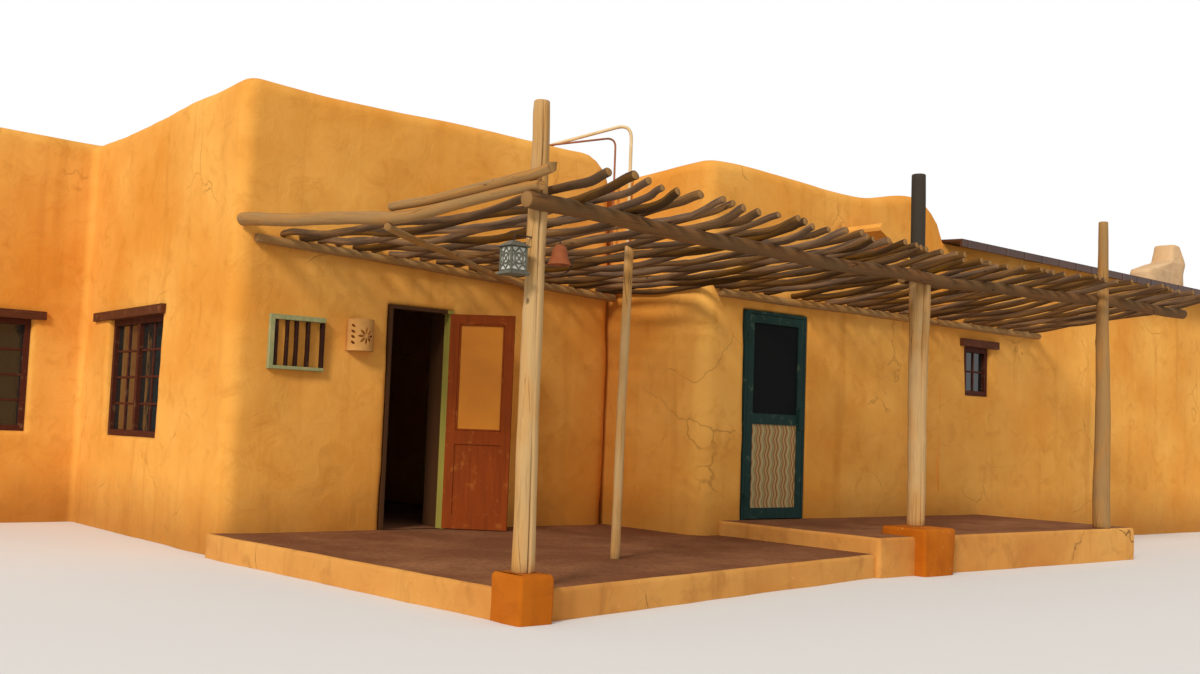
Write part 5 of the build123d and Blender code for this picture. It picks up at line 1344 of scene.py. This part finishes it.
# The sash keeps little of its faded green paint; the uprights are of dark
# wood, dull and scuffed.
sash_paint = painted_wood(
    "faded_green_sash_paint", "#A9A676", "#B9A06C", "#7C7F50", (40.0, 40.0, 8.0), wear=0.6
)
rack_wood = painted_wood("dark_rack_wood", "#3A1C10", "#6A4428", "#20100A", (40.0, 40.0, 6.0), wear=0.3)
rack_low, rack_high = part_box("wall_rack")
STILE = 0.045
UPRIGHT = 0.024
UPRIGHTS = (0.13, 0.32, 0.49, 0.7, 0.97)
rack_width = rack_high.x - rack_low.x
back = rack_high.y + INTO_WALL
points, faces = planks([
    ((rack_low.x, rack_low.y, rack_low.z), (rack_low.x + STILE, back, rack_high.z)),
    ((rack_low.x + STILE, rack_low.y, rack_high.z - STILE), (rack_high.x, back, rack_high.z)),
    ((rack_low.x + STILE, rack_low.y, rack_low.z), (rack_high.x, back, rack_low.z + 0.7 * STILE)),
], edge=0.004)
rack_frame = new_object("rack_sash_frame", points, faces, [sash_paint], slot="green_sash", sharp=30)
points, faces = planks([
    (
        (rack_low.x + at * rack_width - UPRIGHT / 2, rack_low.y + 0.006, rack_low.z + 0.01),
        (rack_low.x + at * rack_width + UPRIGHT / 2, back, rack_high.z - 0.01),
    ) for at in UPRIGHTS
], edge=0.003)
rack_bars = new_object("rack_uprights", points, faces, [rack_wood], slot="green_sash", sharp=30)
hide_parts("wall_rack")
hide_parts("wall_rack")

# Two pipes come up from the roof and bend down over the parapet's end, one
# painted cream, the thinner one bare copper. Both were bent from straight tube.
#
# The paint has yellowed and is stained by rust; the copper has dulled to brown.
pipe_paint = mottled("cream_pipe_paint", 0.5, 0.4, 12.0, 4.0, "#EBD2A0", "#C9A36A")[0]
copper, tree, shader, place = mottled("weathered_copper_tube", 0.45, 0.5, 18.0, 5.0, "#B0683E", "#7A4A30")
shader.inputs["Metallic"].default_value = 0.7
PIPE_SIDES = 14
BEND_STEPS = 9


def bent_tube(corners, bend, radius, sides=PIPE_SIDES):
    """A round tube along straight runs. Each corner is a curve of the second degree that leaves and meets its runs
    at a bend's length from it."""
    corners = np.array(corners, float)
    line = [corners[:1]]
    for before, here, after in zip(corners[:-2], corners[1:-1], corners[2:]):
        start = here + bend * (before - here) / np.linalg.norm(before - here)
        end = here + bend * (after - here) / np.linalg.norm(after - here)
        t = np.linspace(0, 1, BEND_STEPS)[:, None]
        line.append((1 - t) ** 2 * start + 2 * t * (1 - t) * here + t ** 2 * end)
    line = np.concatenate([*line, corners[-1:]])
    along = np.gradient(line, axis=0)
    along /= np.linalg.norm(along, axis=1)[:, None]
    flat = np.cross(corners[1] - corners[0], corners[-1] - corners[0])
    flat = flat / np.linalg.norm(flat) if np.linalg.norm(flat) > 1e-6 else np.array([0.0, 0.0, 1.0])
    across = np.cross(flat, along)
    across /= np.linalg.norm(across, axis=1)[:, None]
    other = np.cross(along, across)
    angle = np.linspace(0, 2 * math.pi, sides, endpoint=False)[None, :, None]
    points = line[:, None] + radius * (np.cos(angle) * across[:, None] + np.sin(angle) * other[:, None])
    return points.reshape(-1, 3), ring_faces(len(line), sides)


ROOF_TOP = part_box("main_roof")[1].z
PIPE_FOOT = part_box("roof_pipe")[0].z
RISER = 0.44
for name, material, riser, drop, top, bend, radius in (
    ("cream_roof_pipe", pipe_paint, (ENTRY_X - 0.7, -0.94), (ENTRY_X - 0.035, -1.69), 4.47, 0.17, 0.018),
    ("copper_roof_pipe", copper, (ENTRY_X - 0.765, -0.98), (ENTRY_X - 0.085, -1.49), 4.34, 0.11, 0.011),
):
    corners = [(*riser, ROOF_TOP), (*riser, ROOF_TOP + RISER), (*drop, top), (*drop, PIPE_FOOT)]
    pipe = new_object(name, *bent_tube(corners, bend, radius), [material], slot="pipe_metal")
    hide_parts("roof_pipe")

# On the left post: a square tin lantern with milky panes behind a pierced
# lattice, and a clay bell, each on an iron hook.
#
# Tin gone dull and spotted, glass painted milky inside, hooks rusted dark
# brown, and a bell of plain terracotta.
tin, tree, shader, place = mottled("weathered_tin", 0.6, 0.4, 40.0, 5.0, "#48463A", "#757260")
shader.inputs["Metallic"].default_value = 0.5
milky = mottled("milky_lantern_pane", 0.4, 0.4, 25.0, 3.0, "#DAD8CC", "#B4B2A4")[0]
iron = mottled("rusty_wrought_iron", 0.75, 0.3, 60.0, 5.0, "#1E1713", "#4A2E1E")[0]
terracotta = mottled("terracotta", 0.8, 0.25, 30.0, 5.0, "#A0582E", "#74391C")[0]

LANTERN_BASE = 0.022
LANTERN_BODY = 0.15
LANTERN_ROOF = 0.038
LANTERN_HALF = 0.062
LANTERN_FLARE = 0.08
LANTERN_CAP = 0.022
LANTERN_CORNER = 0.055
LANTERN_BAR = 0.007
LATTICE_COLUMNS = 32
LATTICE_ROWS = 40
LATTICE_REPEATS = 2.0
LATTICE_STRETCH = 1.15
LATTICE_RING = 0.5
LATTICE_BAR = 0.15
LATTICE_THICKNESS = 0.003
HOOK_RADIUS = 0.006
HOOK_BEND = 0.014
HOOK_SIDES = 10


def frustum(x, y, z0, z1, foot, head):
    """A square tier that narrows from its foot to its head, both given from the centre to a side."""
    corner = np.array([(-1, -1), (1, -1), (1, 1), (-1, 1)], float)
    points = np.array([(*plan, z) for half, z in ((foot, z0), (head, z1)) for plan in corner * half + [x, y]])
    return points, ring_faces(2, 4)


def joined(parts):
    """Several meshes as one, each given as its points and faces."""
    points, faces, offset = [], [], 0
    for part_points, part_faces in parts:
        points.append(part_points)
        faces += [[i + offset for i in face] for face in part_faces]
        offset += len(part_points)
    return np.concatenate(points), faces


lantern_low, lantern_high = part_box("lantern")
lantern_x, lantern_y = lantern_low.x + LANTERN_FLARE, lantern_low.y + LANTERN_FLARE
body_low = lantern_low.z + LANTERN_BASE
body_high = body_low + LANTERN_BODY
roof_high = body_high + LANTERN_ROOF
lantern_boxes = []
for a in (-1, 1):
    for b in (-1, 1):
        x, y = lantern_x + a * LANTERN_CORNER, lantern_y + b * LANTERN_CORNER
        lantern_boxes.append((
            (x - LANTERN_BAR, y - LANTERN_BAR, body_low), (x + LANTERN_BAR, y + LANTERN_BAR, body_high),
        ))
points, faces = joined([
    planks(lantern_boxes, edge=0.002),
    frustum(lantern_x, lantern_y, lantern_low.z, body_low, LANTERN_FLARE, LANTERN_HALF),
    frustum(lantern_x, lantern_y, body_high, roof_high, LANTERN_FLARE, LANTERN_CAP),
])
lantern_frame = new_object("lantern_frame", points, faces, [tin], slot="lantern_metal", sharp=30)
points, faces = frustum(
    lantern_x, lantern_y, body_low - 0.002, body_high + 0.002, LANTERN_CORNER, LANTERN_CORNER
)
lantern_panes = new_object("lantern_panes", points, faces, [milky], slot="lantern_metal", sharp=30)
side = np.linspace(-1, 1, LATTICE_COLUMNS + 1)[:-1]
flat = np.full(LATTICE_COLUMNS, 1.0)
ring = np.concatenate([
    np.stack([side, -flat], 1), np.stack([flat, side], 1), np.stack([-side, flat], 1), np.stack([-flat, -side], 1),
    [[-1.0, -1.0]],
]) * (LANTERN_HALF - 0.002) + [lantern_x, lantern_y]
lattice_points = upright(ring, np.linspace(body_low, body_high, LATTICE_ROWS + 1))
across = np.tile(side + 1 / LATTICE_COLUMNS, 4)[None]
upwards = np.linspace(-1, 1, 2 * LATTICE_ROWS + 1)[1::2][:, None]
lines = np.zeros((LATTICE_ROWS, 4 * LATTICE_COLUMNS), bool)
for way in (-1, 1):
    wave = LATTICE_REPEATS * (across + way * LATTICE_STRETCH * upwards) / 2
    lines |= np.abs(wave - np.round(wave)) < LATTICE_BAR / 2
lines |= np.abs(np.hypot(across, LATTICE_STRETCH * upwards) - LATTICE_RING) < LATTICE_BAR / 2
lines |= (np.abs(across) > 0.86) | (np.abs(upwards) > 0.88)
lattice = pierced("lantern_lattice", lattice_points, lines, LATTICE_THICKNESS, tin, "lantern_metal")

arm = lantern_high.z - HOOK_RADIUS
points, faces = bent_tube([
    (left_x - 0.04, lantern_y + 0.01, arm), (lantern_x, lantern_y, arm), (lantern_x, lantern_y, roof_high - 0.004),
], HOOK_BEND, HOOK_RADIUS * 0.8, HOOK_SIDES)
lantern_hook = new_object("lantern_hook", points, faces, [iron], slot="lantern_metal")
for piece in (lantern_frame, lantern_panes, lattice, lantern_hook):
    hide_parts("lantern")

bell_low, bell_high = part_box("clay_bell")
BELL_RADIUS = 0.08
BELL_SEGMENTS = 40
BELL_PROFILE = (
    (0.0, 0.130), (0.012, 0.1295), (0.024, 0.126), (0.037, 0.115), (0.045, 0.1), (0.05, 0.075), (0.055, 0.05),
    (0.063, 0.026), (0.073, 0.009), (0.08, 0.0), (0.074, 0.0), (0.066, 0.008), (0.056, 0.025), (0.048, 0.05),
    (0.043, 0.075), (0.038, 0.098), (0.02, 0.114), (0.0, 0.118),
)
bell_x, bell_y = bell_low.x + BELL_RADIUS, bell_low.y + BELL_RADIUS


def turned(profile, x, y, z, segments):
    """A turned shape: each (radius, height) of its profile goes round an upright axis."""
    profile = np.array(profile)
    angle = np.linspace(0, 2 * math.pi, segments, endpoint=False)
    points = np.stack([
        x + profile[:, :1] * np.cos(angle), y + profile[:, :1] * np.sin(angle),
        np.repeat(z + profile[:, 1:], segments, 1),
    ], axis=2)
    return points.reshape(-1, 3), [face[::-1] for face in ring_faces(len(profile), segments, ends=False)]


points, faces = turned(BELL_PROFILE, bell_x, bell_y, bell_low.z, BELL_SEGMENTS)
bell = cleaned(new_object("terracotta_bell", points, faces, [terracotta], slot="clay"))
arm = bell_high.z - HOOK_RADIUS
points, faces = joined([
    bent_tube([
        (left_x + 0.035, left_y - 0.025, arm), (bell_x, bell_y, arm), (bell_x, bell_y, bell_low.z + 0.126),
    ], HOOK_BEND, HOOK_RADIUS * 0.8, HOOK_SIDES),
    bent_tube([
        (left_x + 0.04, left_y - 0.03, bell_low.z - 0.05), (bell_x - 0.02, bell_y, bell_low.z - 0.075),
        (bell_x + 0.06, bell_y - 0.04, bell_low.z - 0.03), (bell_x + 0.075, bell_y - 0.05, bell_low.z + 0.05),
    ], 0.03, HOOK_RADIUS * 0.8, HOOK_SIDES),
])
bell_hook = new_object("bell_hook", points, faces, [iron], slot="clay")
for piece in (bell, bell_hook):
    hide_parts("clay_bell")

# The stage: a plain pale floor at ground level, a large soft sun from the left
# and an even sky. To the camera, to metal and to glass the sky is white.
FLOOR_SIZE = 120.0
SUN_POWER = 2.3
SUN_SPREAD = 14.0
SUN_HEIGHT = 32.0
SUN_FROM = -62.0
SKY_LIGHT = 0.62

bpy.ops.mesh.primitive_plane_add(size=FLOOR_SIZE, location=(0, 0, -0.001))
floor = bpy.context.active_object
floor.name = "floor"
pale, tree, shader, place = new_material("pale_floor", roughness=0.9, level=0.1)
shader.inputs["Base Color"].default_value = linear("#E4E0DA")
floor.data.materials.append(pale)
floor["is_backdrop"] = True

# Late sun, warm and low from the left, under a faintly blue sky.
sun_data = bpy.data.lights.new("sun", "SUN")
sun_data.energy = SUN_POWER
sun_data.angle = math.radians(SUN_SPREAD)
sun_data.color = (1.0, 0.965, 0.91)
sun = bpy.data.objects.new("sun", sun_data)
sun.rotation_euler = (math.radians(90 - SUN_HEIGHT), 0, math.radians(SUN_FROM))
bpy.context.scene.collection.objects.link(sun)
world = bpy.data.worlds.new("sky")
world.use_nodes = True
bpy.context.scene.world = world
tree = world.node_tree
lit = tree.nodes["Background"]
lit.inputs["Color"].default_value = (0.95, 0.97, 1.0, 1.0)
lit.inputs["Strength"].default_value = SKY_LIGHT
seen = add(tree, "Background", {"Color": (1, 1, 1, 1), "Strength": 1.0})
path = add(tree, "LightPath")
direct = add(
    tree, "Math", {0: path.outputs["Is Camera Ray"], 1: path.outputs["Is Glossy Ray"]}, operation="MAXIMUM"
)
through = add(tree, "Math", {0: direct.outputs[0], 1: path.outputs["Is Transmission Ray"]}, operation="MAXIMUM")
either = add(tree, "MixShader", {0: through.outputs[0], 1: lit.outputs[0], 2: seen.outputs[0]})
tree.links.new(either.outputs[0], tree.nodes["World Output"].inputs["Surface"])
bpy.context.scene.view_settings.view_transform = "Standard"

low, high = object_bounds()
